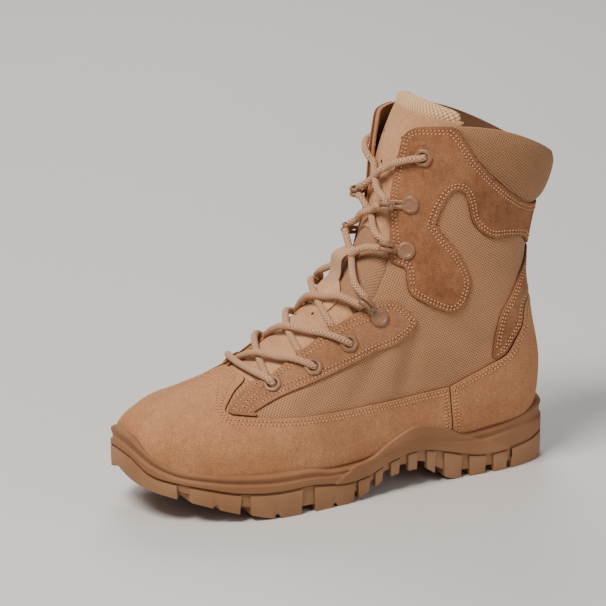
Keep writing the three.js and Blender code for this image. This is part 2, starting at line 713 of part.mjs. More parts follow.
addPiece("outsole", outsole(), rubber);
addPiece("midsole", midsole(seat), foam);
addPiece("insole", insole(), padded);

const inside = form(-upperWall, 0.6);
const shell = base.subtract(inside).subtract(openBelow).subtract(throat);
addPiece("upper", cutHoles(shell), fabric);
addPiece("tongue", tongueLayer(tongueFace, tongueThickness, tongueRows), suede);
const rollOut = (rollThickness - tongueThickness) / 2;
addPiece("tongue_roll", tongueLayer(tongueFace + rollOut, rollThickness, rollRows), knit);
addPiece("tongue_tab", onTongue(tabThickness, tabRows), suede);
addPiece("lace_keeper", onTongue(webbingThickness, keeperRows), knit);

const overlay = (outline, side = "both") => overlayBlank.intersect(sideBar(outline, side)).subtract(throat);
addPiece("vamp_rand", overlay(vampOutline), suede);
addPiece("heel_counter", overlay(counterOutline), suede);
addPiece("back_stay", overlay(stayOutline), suede);
addPiece("lower_eyestay_lateral", cutHoles(overlay(eyestayOutline, "outer")), suede);
addPiece("lower_eyestay_medial", cutHoles(overlay(eyestayOutline, "inner")), suede);
addPiece("shaft_overlay", cutHoles(overlay(shaftOutline)), suede);
const padBlank = form(padThickness).subtract(form(clearance));
addPiece("collar_pad", padBlank.intersect(sideBar(padOutline)), padded);

sides.forEach((side) => {
  const word = side === "outer" ? "lateral" : "medial";
  eyelets.forEach(({ t, a }, i) => {
    addPiece(`eyelet_${word}_${i + 1}`, placed(eyelet(), placement(t, a, side, surface)), paintedMetal);
  });
  hooks.forEach(({ t, a }, i) => {
    const frame = placement(t, a, side, surface);
    const sign = side === "outer" ? 1 : -1;
    const tip = offsetPoint(hookEnds[i].t, sign * hookEnds[i].a, surface);
    const local = tip.applyMatrix4(frame.clone().invert());
    const spin = new THREE.Matrix4().makeRotationZ(Math.atan2(local.y, local.x));
    const geometry = geometryOf(hook(Math.hypot(local.x, local.y)));
    const seated = placed(geometry, frame.multiply(spin)).subtract(seat);
    addPiece(`hook_${word}_${i + 1}`, seated, paintedMetal);
  });
});
addPiece("laces", laces(), cordMaterial);

const middle = new THREE.Box3().setFromObject(boot).getCenter(new THREE.Vector3());
boot.position.set(-middle.x, -middle.y, 0);

export default boot;
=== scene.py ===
# %% [markdown]
# # A combat boot for the left foot
#
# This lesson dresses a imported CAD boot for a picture. The CAD model fixes every size. Blender adds what
# the eye looks for on a sewn boot: panels with cut edges, stitches, woven cloth, a braided lace and
# rubber with a moulded grain.
#
# The boot stands on its sole. Its heel points along +X, its toe along -X and its outer side along -Y.

# %% Load the frame
import math

import bpy
import numpy as np
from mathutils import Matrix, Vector


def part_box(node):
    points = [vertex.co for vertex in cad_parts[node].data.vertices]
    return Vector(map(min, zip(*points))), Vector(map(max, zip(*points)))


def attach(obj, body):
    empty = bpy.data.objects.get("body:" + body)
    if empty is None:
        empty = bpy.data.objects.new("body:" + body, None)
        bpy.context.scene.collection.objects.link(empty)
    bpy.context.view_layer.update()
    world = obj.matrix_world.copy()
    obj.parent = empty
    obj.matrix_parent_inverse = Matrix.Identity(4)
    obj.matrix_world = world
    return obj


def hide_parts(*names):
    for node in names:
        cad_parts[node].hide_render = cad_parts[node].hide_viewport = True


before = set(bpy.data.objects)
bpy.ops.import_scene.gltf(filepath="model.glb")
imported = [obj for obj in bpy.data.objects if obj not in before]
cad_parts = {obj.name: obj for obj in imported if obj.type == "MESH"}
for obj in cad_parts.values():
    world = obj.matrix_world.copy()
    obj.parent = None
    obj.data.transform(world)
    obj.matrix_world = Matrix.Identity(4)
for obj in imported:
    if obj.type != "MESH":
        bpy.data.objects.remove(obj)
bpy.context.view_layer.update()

# %% [markdown]
# ## The camera
#
# The photograph was taken from far away with a long lens, a little above the collar and from in front
# of the outer side. A long lens keeps the toe and the heel at nearly the same scale. The lens is
# shifted instead of turned, so upright lines stay upright.

# %% Camera
MM = 0.001
camera_distance = 2200
aim_height = 110
picture_width = 606
# The boot's tables count from the middle of the sole's length and from the last's middle line, which
# lies 1.5 mm beside the middle of the sole's box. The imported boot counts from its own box's middle.
last_offset = 1.5
sole_low, sole_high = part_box("outsole")
sole_middle = (sole_low + sole_high) / 2 / MM
shift = np.array([sole_middle.x, sole_middle.y + last_offset, 0.0])


def add_object(name, data):
    """A new object in the scene."""
    made = bpy.data.objects.new(name, data)
    bpy.context.scene.collection.objects.link(made)
    return made


def look_along(thing, direction):
    """Turns a camera or light so that it looks along a direction."""
    thing.rotation_mode = "QUATERNION"
    thing.rotation_quaternion = Vector(direction).to_track_quat("-Z", "Y")


azimuth = math.radians(-27)
elevation = math.radians(16.5)
backwards = np.array([
    math.sin(azimuth) * math.cos(elevation),
    -math.cos(azimuth) * math.cos(elevation),
    math.sin(elevation),
])
aim = np.array([0, 0, aim_height]) + shift
camera = add_object("camera", bpy.data.cameras.new("camera"))
camera.location = (aim + camera_distance * backwards) * MM
look_along(camera, -backwards)
camera.data.lens = 200.8
camera.data.shift_x = -30 / picture_width
camera.data.shift_y = 15 / picture_width
bpy.context.scene.camera = camera
print("camera at", [round(value, 3) for value in camera.location], "shift of the tables", shift.round(2))

# %% [markdown]
# ## Floor and light
#
# A plain pale floor and three large soft lights, as in a small product studio. The key light stands
# high before the toe, so the toe is bright and the shaft's side falls into half shade.

# %% Floor and light
floor_mesh = bpy.data.meshes.new("floor")
floor_mesh.from_pydata([(-6, -6, 0), (6, -6, 0), (6, 6, 0), (-6, 6, 0)], [], [(0, 1, 2, 3)])
floor = add_object("floor", floor_mesh)
floor_paint = bpy.data.materials.new("floor_paint")
floor_paint.use_nodes = True
floor_shader = floor_paint.node_tree.nodes["Principled BSDF"]
floor_shader.inputs["Base Color"].default_value = (0.62, 0.60, 0.58, 1)
floor_shader.inputs["Roughness"].default_value = 0.7
floor_mesh.materials.append(floor_paint)


lit_place = (0, 0, 0.12)


def soft_light(name, place, size, power, tint):
    """A square area light at a place in metres, turned to the boot's middle."""
    data = bpy.data.lights.new(name, "AREA")
    data.size = size
    data.energy = power
    data.color = tint
    light = add_object(name, data)
    light.location = place
    look_along(light, Vector(lit_place) - Vector(place))
    return light


key = soft_light("key", (-1.3, -0.6, 2.1), 0.9, 80, (1.0, 0.95, 0.90))
fill = soft_light("fill", (1.4, -2.0, 0.9), 1.6, 16, (0.95, 0.97, 1.0))
rim = soft_light("rim", (0.6, 1.8, 1.5), 1.2, 26, (1.0, 0.97, 0.94))
world = bpy.data.worlds.new("studio")
world.use_nodes = True
sky = world.node_tree.nodes["Background"]
sky.inputs["Color"].default_value = (0.75, 0.75, 0.77, 1)
sky.inputs["Strength"].default_value = 0.30
bpy.context.scene.world = world
print("lights", [light.name for light in (key, fill, rim)])

# %% [markdown]
# ## The last
#
# A shoemaker builds a boot round a last, a solid foot shape. Here the last is a table: each row is a
# section from the toe to the collar, and a smooth curve runs through each column. A section is an oval
# with squared ends, a superellipse. It stands in a plane through a point on the front line and a point
# on the bottom or back line. Two numbers then name any place on the boot: the section t and the angle a
# round it, with 0 at the front line and positive angles on the outer side.
#
# Places along the foot are shares of the sole's length from the heel, rises are shares from the footbed
# to the collar's front, and half widths are shares of the width at the ball.

# %% Sizes and the last's table
sole_length = 305.0
ball_width = 107.0
sole_thickness = 20.0
heel_height = 27.0
toe_spring = 12.0
instep_height = 98.0
shaft_height = 237.0
sidewall_height = 24.0
upper_wall = 2.4
panel_thickness = 1.8
# Shares of the length: the heel's lift grows from the waist to the heel, the toe's spring from the ball
waist_end, heel_start, spring_start = 0.57, 0.10, 0.74
half_length = sole_length / 2
half_turn, full_turn = math.pi, 2 * math.pi

# frontAt, frontRise, backAt, backRise, outer, inner, lowPower, highPower, widest, swing, arch
last_rows = np.array([
    [0.984, 0.073, 0.984, 0.045, 0.028, 0.028, 2.2, 2.0, 0.50, 0.075, 0],
    [0.975, 0.109, 0.975, 0.013, 0.178, 0.140, 2.4, 2.0, 0.44, 0.075, 0],
    [0.959, 0.146, 0.959, 0, 0.271, 0.215, 2.8, 2.1, 0.40, 0.070, 0],
    [0.928, 0.182, 0.928, 0, 0.340, 0.285, 3.2, 2.2, 0.36, 0.061, 0],
    [0.879, 0.224, 0.879, 0, 0.421, 0.370, 3.8, 2.2, 0.32, 0.047, 0],
    [0.803, 0.261, 0.803, 0, 0.463, 0.410, 4.4, 2.2, 0.30, 0.028, 0],
    [0.715, 0.312, 0.708, 0, 0.481, 0.430, 4.6, 2.2, 0.30, 0.005, 0],
    [0.646, 0.378, 0.630, 0, 0.472, 0.425, 5.0, 2.2, 0.30, -0.005, 0],
    [0.574, 0.457, 0.534, 0, 0.444, 0.388, 5.0, 2.2, 0.32, -0.009, 0],
    [0.508, 0.549, 0.433, 0, 0.411, 0.360, 5.0, 2.2, 0.34, -0.009, 0],
    [0.459, 0.625, 0.318, 0, 0.388, 0.360, 5.4, 2.2, 0.38, -0.005, 0],
    [0.430, 0.683, 0.170, 0, 0.379, 0.369, 5.0, 2.2, 0.42, 0, 0],
    [0.413, 0.728, 0.046, 0.007, 0.388, 0.383, 2.6, 2.2, 0.45, 0, 0],
    [0.405, 0.765, 0.020, 0.163, 0.393, 0.393, 2.3, 2.2, 0.48, 0, 0],
    [0.398, 0.806, 0.039, 0.331, 0.397, 0.397, 2.2, 2.2, 0.50, 0, 0.005],
    [0.393, 0.857, 0.056, 0.490, 0.407, 0.407, 2.2, 2.2, 0.50, 0, 0.014],
    [0.387, 0.922, 0.039, 0.658, 0.421, 0.421, 2.2, 2.2, 0.50, 0, 0.033],
    [0.377, 1.000, -0.007, 0.835, 0.439, 0.439, 2.2, 2.2, 0.50, 0, 0.061],
])
instep_share = last_rows[8, 1]
top_section = len(last_rows) - 1.0


def between(rows, t):
    """The table's row at number t: in each span a cubic through two rows, aimed by their neighbours."""
    rows = np.asarray(rows, float)
    t = np.asarray(t, float)
    first = 2 * rows[0] - rows[1]
    last = 2 * rows[-1] - rows[-2]
    padded_rows = np.vstack([first, rows, last])
    i = np.clip(np.floor(t).astype(int), 0, len(rows) - 2)
    f = (t - i)[..., None]
    p0, p1, p2, p3 = (padded_rows[i + k] for k in range(4))
    return 0.5 * (2 * p1 + (p2 - p0) * f + (2 * p0 - 5 * p1 + 4 * p2 - p3) * f**2
                  + (3 * p1 - p0 - 3 * p2 + p3) * f**3)


def smooth(value, low, high):
    """0 below low, 1 above high, and a soft S between them."""
    f = np.clip((np.asarray(value, float) - low) / (high - low), 0, 1)
    return f * f * (3 - 2 * f)


def footbed(at):
    """Height of the footbed: heel lift behind, toe spring in front, both soft curves."""
    at = np.asarray(at, float)
    heel = smooth(-at, -waist_end, -heel_start)
    toe = np.maximum(0, (at - spring_start) / (1 - spring_start))
    return sole_thickness + (heel_height - sole_thickness) * heel + toe_spring * toe**2.2


collar_rise = shaft_height - footbed(last_rows[-1, 0])


def height_of(at, rise):
    """Height above the floor: the footbed, plus one scale of rise up to the instep and another above it."""
    low = np.minimum(rise, instep_share) / instep_share
    high = np.maximum(rise - instep_share, 0) / (1 - instep_share)
    return footbed(at) + low * instep_height + high * (collar_rise - instep_height)


def side_place(at, rise):
    """Shares of length and rise as x and z in millimetres."""
    return np.stack([half_length - np.asarray(at, float) * sole_length, height_of(at, rise)], -1)


def last_point(t, a):
    """The last's surface: width follows |sin a| and height |cos a|, each to the power 2 / squareness."""
    t, a = np.broadcast_arrays(np.asarray(t, float), np.asarray(a, float))
    front_at, front_rise, back_at, back_rise, outer, inner, low, high, widest, swing, arch = (
        np.moveaxis(between(last_rows, t), -1, 0))
    upper_half = np.cos(a) >= 0
    power = np.where(upper_half, high, low)
    along = np.abs(np.cos(a)) ** (2 / power)
    across = np.abs(np.sin(a)) ** (2 / power)
    w = np.where(upper_half, widest + (1 - widest) * along, widest * (1 - along))
    y = swing + np.where(np.sin(a) >= 0, -outer, inner) * across
    front = side_place(front_at, front_rise)
    back = side_place(back_at, back_rise)
    lift = arch * collar_rise * 4 * w * (1 - w)
    x = back[..., 0] + (front[..., 0] - back[..., 0]) * w
    z = back[..., 1] + (front[..., 1] - back[..., 1]) * w + lift
    return np.stack([x, y * ball_width, z], -1)


def slopes(surface, t, a):
    """How the surface runs along t and along a, by central differences."""
    e = 0.002
    along = (surface(t + e, a) - surface(t - e, a)) / (2 * e)
    round_ = (surface(t, a + e) - surface(t, a - e)) / (2 * e)
    return along, round_


def unit(vectors):
    """Vectors of length one."""
    return vectors / np.maximum(np.linalg.norm(vectors, axis=-1, keepdims=True), 1e-9)


def last_normal(t, a):
    """The direction square to both slopes, outwards."""
    along, round_ = slopes(last_point, t, a)
    return unit(np.cross(round_, along))


sample = last_point(np.array([8.0]), np.array([0.0]))
print("front of the instep at", sample.round(1))

# %% [markdown]
# ## Creases
#
# The woven quarter isn't stiff. Where the foot bends, the cloth has soft hollows and swellings a
# millimetre or two deep. They could be sculpted by hand. Here each is a line with a width and a depth,
# and all layers sewn together take the same hollows, so that no panel floats or sinks.

# %% Creases
# start at, start rise, end at, end rise, half width in mm, depth in mm (minus swells)
outer_creases = np.array([
    [0.470, 0.330, 0.520, 0.235, 7.0, 1.5],
    [0.425, 0.345, 0.440, 0.235, 8.0, -1.3],
    [0.375, 0.360, 0.395, 0.245, 6.5, 1.5],
    [0.330, 0.420, 0.215, 0.300, 8.0, 1.2],
    [0.585, 0.270, 0.640, 0.225, 6.0, 0.9],
    [0.335, 0.300, 0.300, 0.235, 8.0, -1.0],
    [0.215, 0.700, 0.150, 0.660, 8.0, 2.2],
    [0.170, 0.590, 0.140, 0.560, 8.0, -1.0],
    [0.300, 0.840, 0.235, 0.745, 9.0, 2.4],
    [0.240, 0.440, 0.190, 0.360, 9.0, -0.8],
])
crease_starts = side_place(outer_creases[:, 0], outer_creases[:, 1])
crease_ends = side_place(outer_creases[:, 2], outer_creases[:, 3])


def crease_depth(points):
    """How far the cloth moves in: the sum of bell curves of the distance to each crease's line."""
    flat = points[..., None, [0, 2]]
    run = crease_ends - crease_starts
    share = np.clip(((flat - crease_starts) * run).sum(-1) / (run**2).sum(-1), 0, 1)
    gap = np.linalg.norm(flat - (crease_starts + share[..., None] * run), axis=-1)
    depth = (outer_creases[:, 5] * np.exp(-(gap / outer_creases[:, 4]) ** 2)).sum(-1)
    on_side = np.abs(points[..., 1]) / (0.5 * ball_width)
    return depth * smooth(on_side, 0.25, 0.6)


def skin(t, a, lift=0.0):
    """A point of the boot: the last's point, moved along its normal by the lift less the crease."""
    base = last_point(t, a)
    lift = np.asarray(lift, float) - crease_depth(base)
    return base + last_normal(t, a) * lift[..., None]


def skin_normal(t, a):
    """The creased surface's own normal."""
    along, round_ = slopes(skin, t, a)
    return unit(np.cross(round_, along))


first_crease = np.array([[crease_starts[0, 0], -45, crease_starts[0, 1]]])
print("depth at the first crease", crease_depth(first_crease).round(2), "mm")

# %% [markdown]
# ## Meshes from arrays
#
# Every sewn piece starts as a grid of places (t, a) on the last. A grid keeps its rows in order, so the
# faces follow from the rows' numbers alone. A cell's corners go round so that its face points outwards.

# %% Grids and pieces
def quads_of(index):
    """The four corners of every cell in a table of point numbers."""
    corners = [index[:-1, :-1], index[:-1, 1:], index[1:, 1:], index[1:, :-1]]
    return np.stack(corners, -1).reshape(-1, 4)


def grid(t_values, a_values):
    """Places on every crossing of two lists of values, and two triangles for each cell."""
    t, a = np.meshgrid(t_values, a_values, indexing="ij")
    quads = quads_of(np.arange(t.size).reshape(t.shape))
    return np.stack([t.ravel(), a.ravel()], 1), np.concatenate([quads[:, [0, 1, 2]], quads[:, [0, 2, 3]]])


def ring_faces(rows, columns, closed_columns=True, closed_rows=False):
    """Quads of a grid of points whose columns (and rows) may close on themselves."""
    index = np.arange(rows * columns).reshape(rows, columns)
    if closed_columns:
        index = np.hstack([index, index[:, :1]])
    if closed_rows:
        index = np.vstack([index, index[:1]])
    return quads_of(index)


def make_piece(name, points, faces, materials, slot, replaced=(), uv=None, which=None):
    """A mesh object from arrays in millimetres, with its place in its mesh, riding on the boot."""
    mesh = bpy.data.meshes.new(name)
    mesh.from_pydata(((points + shift) * MM).tolist(), [], faces.tolist())
    for material in materials:
        mesh.materials.append(material)
    mesh.polygons.foreach_set("use_smooth", np.ones(len(mesh.polygons), bool))
    if which is not None:
        mesh.polygons.foreach_set("material_index", which.astype(np.int32))
    if uv is not None:
        corners = np.empty(len(mesh.loops), np.int32)
        mesh.loops.foreach_get("vertex_index", corners)
        flat = (uv[corners] * MM).astype(np.float32)
        mesh.uv_layers.new(name="weave").data.foreach_set("uv", flat.ravel())
    mesh.update()
    piece = add_object(name, mesh)
    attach(piece, "root")
    if replaced:
        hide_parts(*replaced)
    print(name, len(points), "points,", len(faces), "faces")
    return piece


print("a grid of three places by four has", len(grid(np.arange(3), np.arange(4))[1]), "triangles")

# %% [markdown]
# ## Outlines
#
# A pattern cutter draws each panel flat. Here a panel's outline is drawn in the side view, and the
# throat's in a view square to the line from vamp to collar. An outline is a list of stretches, each
# beginning where the one before it ends: one point draws a straight line, more draw a smooth curve. How
# far a place lies inside its outline tells all the rest: where the panel ends, where its edge rounds off
# and where its stitches run.

# %% Outlines
def curve(points, steps=8):
    """A smooth curve through points, sampled evenly in each span."""
    t = np.linspace(0, len(points) - 1, (len(points) - 1) * steps + 1)
    return between(points, t)


def outline(stretches):
    """One closed polygon in side view. Each stretch begins where the one before it ends."""
    parts = []
    for before, stretch in zip(stretches[-1:] + stretches[:-1], stretches):
        points = side_place(*np.array(before[-1:] + stretch, float).T)
        parts.append((curve(points) if len(points) > 2 else points)[:-1])
    return np.vstack(parts)


def inside_by(points, polygon):
    """Distance to the polygon's nearest edge, minus outside. A ray's crossings tell inside from outside."""
    nearest = np.full(len(points), 1e9)
    inside = np.zeros(len(points), bool)
    x, z = points[:, 0], points[:, 1]
    for (x0, z0), (x1, z1) in zip(polygon, np.roll(polygon, -1, 0)):
        run, rise = x1 - x0, z1 - z0
        share = np.clip(((x - x0) * run + (z - z0) * rise) / max(run**2 + rise**2, 1e-9), 0, 1)
        nearest = np.minimum(nearest, np.hypot(x - x0 - share * run, z - z0 - share * rise))
        spans = (z0 > z) != (z1 > z)
        inside ^= spans & (x < x0 + run * (z - z0) / (rise if rise else 1e-9))
    return np.where(inside, nearest, -nearest)


throat_rows = np.array([
    [-0.015, 0.72], [0.01, 0.86], [0.10, 0.90], [0.26, 0.95], [0.38, 1.06], [0.45, 1.06], [0.58, 0.88],
    [0.65, 0.72], [0.74, 0.57], [0.81, 0.55], [0.89, 0.61], [1.0, 0.68], [1.3, 0.76],
])
throat_half = 29.0
throat_foot = side_place(0.725, 0.305)
throat_head = side_place(0.377, 1.0)
throat_length = np.linalg.norm(throat_head - throat_foot)
throat_up = (throat_head - throat_foot) / throat_length
throat_out = np.array([-throat_up[1], throat_up[0]])


def throat_view(points):
    """Millimetres across, and up the line from the vamp to the collar, and out from that line."""
    flat = points[..., [0, 2]] - throat_foot
    return np.stack([points[..., 1], flat @ throat_up, flat @ throat_out], -1)


throat_edge = curve(throat_rows) * [throat_length, throat_half]
throat_polygon = np.vstack([
    np.stack([throat_edge[:, 1], throat_edge[:, 0]], 1),
    np.stack([-throat_edge[::-1, 1], throat_edge[::-1, 0]], 1),
])


far_behind = 60.0


def outside_throat(points):
    """How far a place lies outside the throat's outline. The back of the boot counts as far outside."""
    seen = throat_view(points)
    return np.where(seen[:, 2] > -far_behind, -inside_by(seen[:, :2], throat_polygon), far_behind)


eyelet_places = np.array([[0.694, 0.288], [0.609, 0.333], [0.526, 0.390], [0.341, 0.913]])
hook_places = np.array([[0.452, 0.450], [0.374, 0.629], [0.362, 0.770]])
hook_tips = np.array([[0.485, 0.500], [0.418, 0.645], [0.396, 0.768]])


def locate(places):
    """Section and angle of places in side view: a coarse grid's nearest point, then damped Newton steps."""
    aims = side_place(*np.asarray(places, float).T)
    t, a = np.meshgrid(np.linspace(0.5, top_section, 80), np.linspace(0.1, 3.0, 60), indexing="ij")
    coarse = last_point(t, a)[..., [0, 2]].reshape(-1, 2)
    nearest = np.linalg.norm(aims[:, None] - coarse, axis=-1).argmin(1)
    t, a = t.ravel()[nearest], a.ravel()[nearest]
    damping = 0.7
    for _ in range(12):
        along, round_ = (run[:, [0, 2]] for run in slopes(last_point, t, a))
        miss = aims - last_point(t, a)[:, [0, 2]]
        area = along[:, 0] * round_[:, 1] - along[:, 1] * round_[:, 0]
        t = t + damping * (miss[:, 0] * round_[:, 1] - miss[:, 1] * round_[:, 0]) / area
        a = a + damping * (along[:, 0] * miss[:, 1] - along[:, 1] * miss[:, 0]) / area
    return t, a


eyelet_t, eyelet_a = locate(eyelet_places)
hook_t, hook_a = locate(hook_places)
tip_t, tip_a = locate(hook_tips)
hole_points = np.concatenate([last_point(eyelet_t, eyelet_a), last_point(eyelet_t, -eyelet_a)])


def outside_holes(points, radius=4.0):
    """How far a place lies from the edge of the nearest eyelet hole."""
    return np.linalg.norm(points[:, None] - hole_points, axis=-1).min(1) - radius


def rounded(first, second, radius):
    """The least of two distances, with the corner where both edges meet turned into an arc."""
    arc = radius - np.hypot(np.maximum(radius - first, 0), np.maximum(radius - second, 0))
    return np.where((first > radius) & (second > radius), np.minimum(first, second), arc)


def below_rim(place):
    """How far a place lies below the collar's rim, along the boot's surface."""
    along, _ = slopes(last_point, np.full(len(place), top_section), place[:, 1])
    return (top_section - place[:, 0]) * np.linalg.norm(along, axis=-1)


def above_sole(points, hidden=4.0):
    """How far a place lies above the footbed. The panels' lower edges are glued in the sole."""
    return points[:, 2] - footbed((half_length - points[:, 0]) / sole_length) - hidden


print("eyelets at sections", eyelet_t.round(2), "hooks at", hook_t.round(2))

# %% [markdown]
# ## Cutting a panel
#
# A grid cell that the outline crosses has to be cut, or the edge would show steps. Each triangle is
# cut where the distance changes sign, so its new corner lies on the outline. The rim of the cut is then
# carried outwards and down in a quarter circle and a straight wall: the cut edge of the leather.
# A Boolean would do this too, but slower, and the grid's places would be lost.

# %% Cutting
def cut(place, faces, value, level=0.0):
    """Keeps what has a value over the level, halving to find the crossings. Returns the rim's edges too."""
    height = value(place) - level
    inside = height[faces] > 0
    count = inside.sum(1)
    kept = faces[count == 3]
    pieces = []
    for wanted, flags in ((1, inside), (2, ~inside)):
        chosen = faces[count == wanted]
        turn = flags[count == wanted].argmax(1)[:, None] if len(chosen) else np.zeros((0, 1), int)
        pieces.append(np.take_along_axis(chosen, (turn + np.arange(3)) % 3, 1))
    one, two = pieces
    pairs = np.concatenate([one[:, [0, 1]], one[:, [0, 2]], two[:, [0, 1]], two[:, [0, 2]]])
    edges, number = np.unique(np.sort(pairs, 1), axis=0, return_inverse=True)
    number = number.ravel() + len(place)
    swap = height[edges[:, 0]] < 0
    start = np.where(swap[:, None], place[edges[:, 1]], place[edges[:, 0]])
    end = np.where(swap[:, None], place[edges[:, 0]], place[edges[:, 1]])
    near, far = np.zeros(len(edges)), np.ones(len(edges))
    for _ in range(9):
        share = (near + far) / 2
        held = value(start + (end - start) * share[:, None]) > level
        near, far = np.where(held, share, near), np.where(held, far, share)
    new = start + (end - start) * ((near + far) / 2)[:, None]
    a1, a2, b1, b2 = np.split(number, np.cumsum([len(one), len(one), len(two)]))
    faces = np.concatenate([
        kept,
        np.stack([one[:, 0], a1, a2], 1),
        np.stack([two[:, 1], two[:, 2], b2], 1),
        np.stack([two[:, 1], b2, b1], 1),
    ])
    rim = np.concatenate([np.stack([a1, a2], 1), np.stack([b2, b1], 1)])
    place = np.concatenate([place, new])
    used, faces = np.unique(faces, return_inverse=True)
    faces = faces.reshape(-1, 3)
    renumber = np.full(len(place), -1)
    renumber[used] = np.arange(len(used))
    return place[used], faces, renumber[rim]


def outwards(value, place):
    """Unit directions on the boot in which the value falls fastest."""
    t, a = place.T
    e = 0.003
    run_t, run_a = slopes(skin, t, a)
    value_t = (value(np.stack([t + e, a], 1)) - value(np.stack([t - e, a], 1))) / (2 * e)
    value_a = (value(np.stack([t, a + e], 1)) - value(np.stack([t, a - e], 1))) / (2 * e)
    tt, ta, aa = (run_t * run_t).sum(-1), (run_t * run_a).sum(-1), (run_a * run_a).sum(-1)
    area = np.maximum(tt * aa - ta**2, 1e-9)
    climb = (((aa * value_t - ta * value_a) / area)[:, None] * run_t
             + ((tt * value_a - ta * value_t) / area)[:, None] * run_a)
    return -unit(climb)


seam_dip, dip_at, dip_width = 0.35, 2.6, 1.6


def flat_lift(depth):
    """A leather panel's lift: its thickness, with a shallow dip where the seam pulls it down."""
    return panel_thickness - seam_dip * np.exp(-((depth - dip_at) / dip_width) ** 2)


def panel(t_values, a_values, value, lift, rounding=0.7, base=0.1):
    """A sewn panel over the last: a cut grid at its lift, a quarter-round edge and a wall to the base.

    Also returns how many of its last faces make the cut edge.
    """
    place, faces, rim = cut(*grid(t_values, a_values), value, rounding)
    points = skin(*place.T, lift(np.maximum(value(place), 0)))
    number, rim = np.unique(rim, return_inverse=True)
    rim = rim.reshape(-1, 2)
    away = outwards(value, place[number])
    normal = skin_normal(*place[number].T)
    top = points[number]
    rings = [number]
    layers = [points]
    drop = lift(np.full(len(number), rounding)) - base - rounding
    for turn, down in ((30, 0), (60, 0), (90, 0), (90, 1)):
        angle = math.radians(turn)
        ring = top + away * rounding * math.sin(angle) - normal * rounding * (1 - math.cos(angle))
        layers.append(ring - normal * (down * np.maximum(drop, 0))[:, None])
        rings.append(np.arange(len(number)) + sum(len(layer) for layer in layers[:-1]))
    for near, far in zip(rings[:-1], rings[1:]):
        p, q = rim.T
        faces = np.concatenate([
            faces,
            np.stack([near[q], near[p], far[p]], 1),
            np.stack([near[q], far[p], far[q]], 1),
        ])
    return np.concatenate(layers), faces, 4 * len(rim)


corner_radius = 10.0


def side_value(polygon, side=None, throat=True, holes=False, rim=False, sole=True):
    """How far a place lies inside a panel: its least distance to outline, throat, holes and sole."""
    def value(place):
        points = last_point(*place.T)
        least = inside_by(points[:, [0, 2]], polygon)
        if sole:
            least = np.minimum(least, above_sole(points))
        if throat:
            edge = outside_throat(points)
            least = np.minimum(least, rounded(edge, below_rim(place), corner_radius) if rim else edge)
        if holes:
            least = np.minimum(least, outside_holes(points))
        if side:
            least = np.where(np.sin(place[:, 1]) * side > 0, least, -20)
        return least
    return value


print("a panel's edge starts", round(float(flat_lift(0)), 2), "mm over the last")

# %% [markdown]
# ## Even steps
#
# Equal steps of t and a would crowd the points at the toe and stretch them at the widest line, because
# a squared oval runs fast there. The steps are chosen by length instead: a fine set of values is
# measured on several lines of the last, and the ladder takes the longest of them at each step.

# %% Ladders of even steps
def ladder(values, lines, step):
    """Values picked so that no line of the last moves more than one step between them."""
    lengths = np.max([np.linalg.norm(np.diff(line, axis=0), axis=1) for line in lines], axis=0)
    run = np.concatenate([[0], np.cumsum(lengths)])
    return np.interp(np.linspace(0, run[-1], int(run[-1] / step) + 2), run, values)


def section_ladder(low, high, step):
    """Even steps from section to section, measured on five lines from the front to the back."""
    values = np.linspace(low, high, 1200)
    return ladder(values, [last_point(values, a) for a in (0.0, 0.8, 1.6, 2.4, math.pi)], step)


def angle_ladder(low, high, step):
    """Quarter turns whose ends, where the squared oval runs fast, are sampled more finely."""
    f = np.linspace(0, 1, 500)
    eased = f**2.5 / (f**2.5 + (1 - f) ** 2.5)
    quarter_turn = half_turn / 2
    quarters = np.arange(math.floor(low / quarter_turn), math.ceil(high / quarter_turn))
    values = np.unique(np.concatenate([(quarter + eased) * quarter_turn for quarter in quarters]))
    values = np.clip(values, low, high)
    return ladder(values, [last_point(t, values) for t in (3.0, 5.0, 8.0, 11.0, 14.0, 17.0)], step)


print("a ladder round the boot has", len(angle_ladder(0, full_turn, 1.3)), "rungs")

# %% [markdown]
# ## Suede
#
# Suede is leather with its fibres raised. It has no gloss, it looks lighter where the fibres lie one
# way and darker where a hand brushed them the other, and it glows softly at grazing angles. A photo
# texture would show all that, but only at one size. Here noise at three sizes makes it: blotches as
# wide as a thumb, brush marks, and the nap itself as colour and bump. Sheen gives the glow.

# %% Materials: suede
def linear(red, green, blue):
    """A colour picked on a screen, 0 to 255, as the light it stands for."""
    return tuple((value / 255) ** 2.2 for value in (red, green, blue)) + (1.0,)


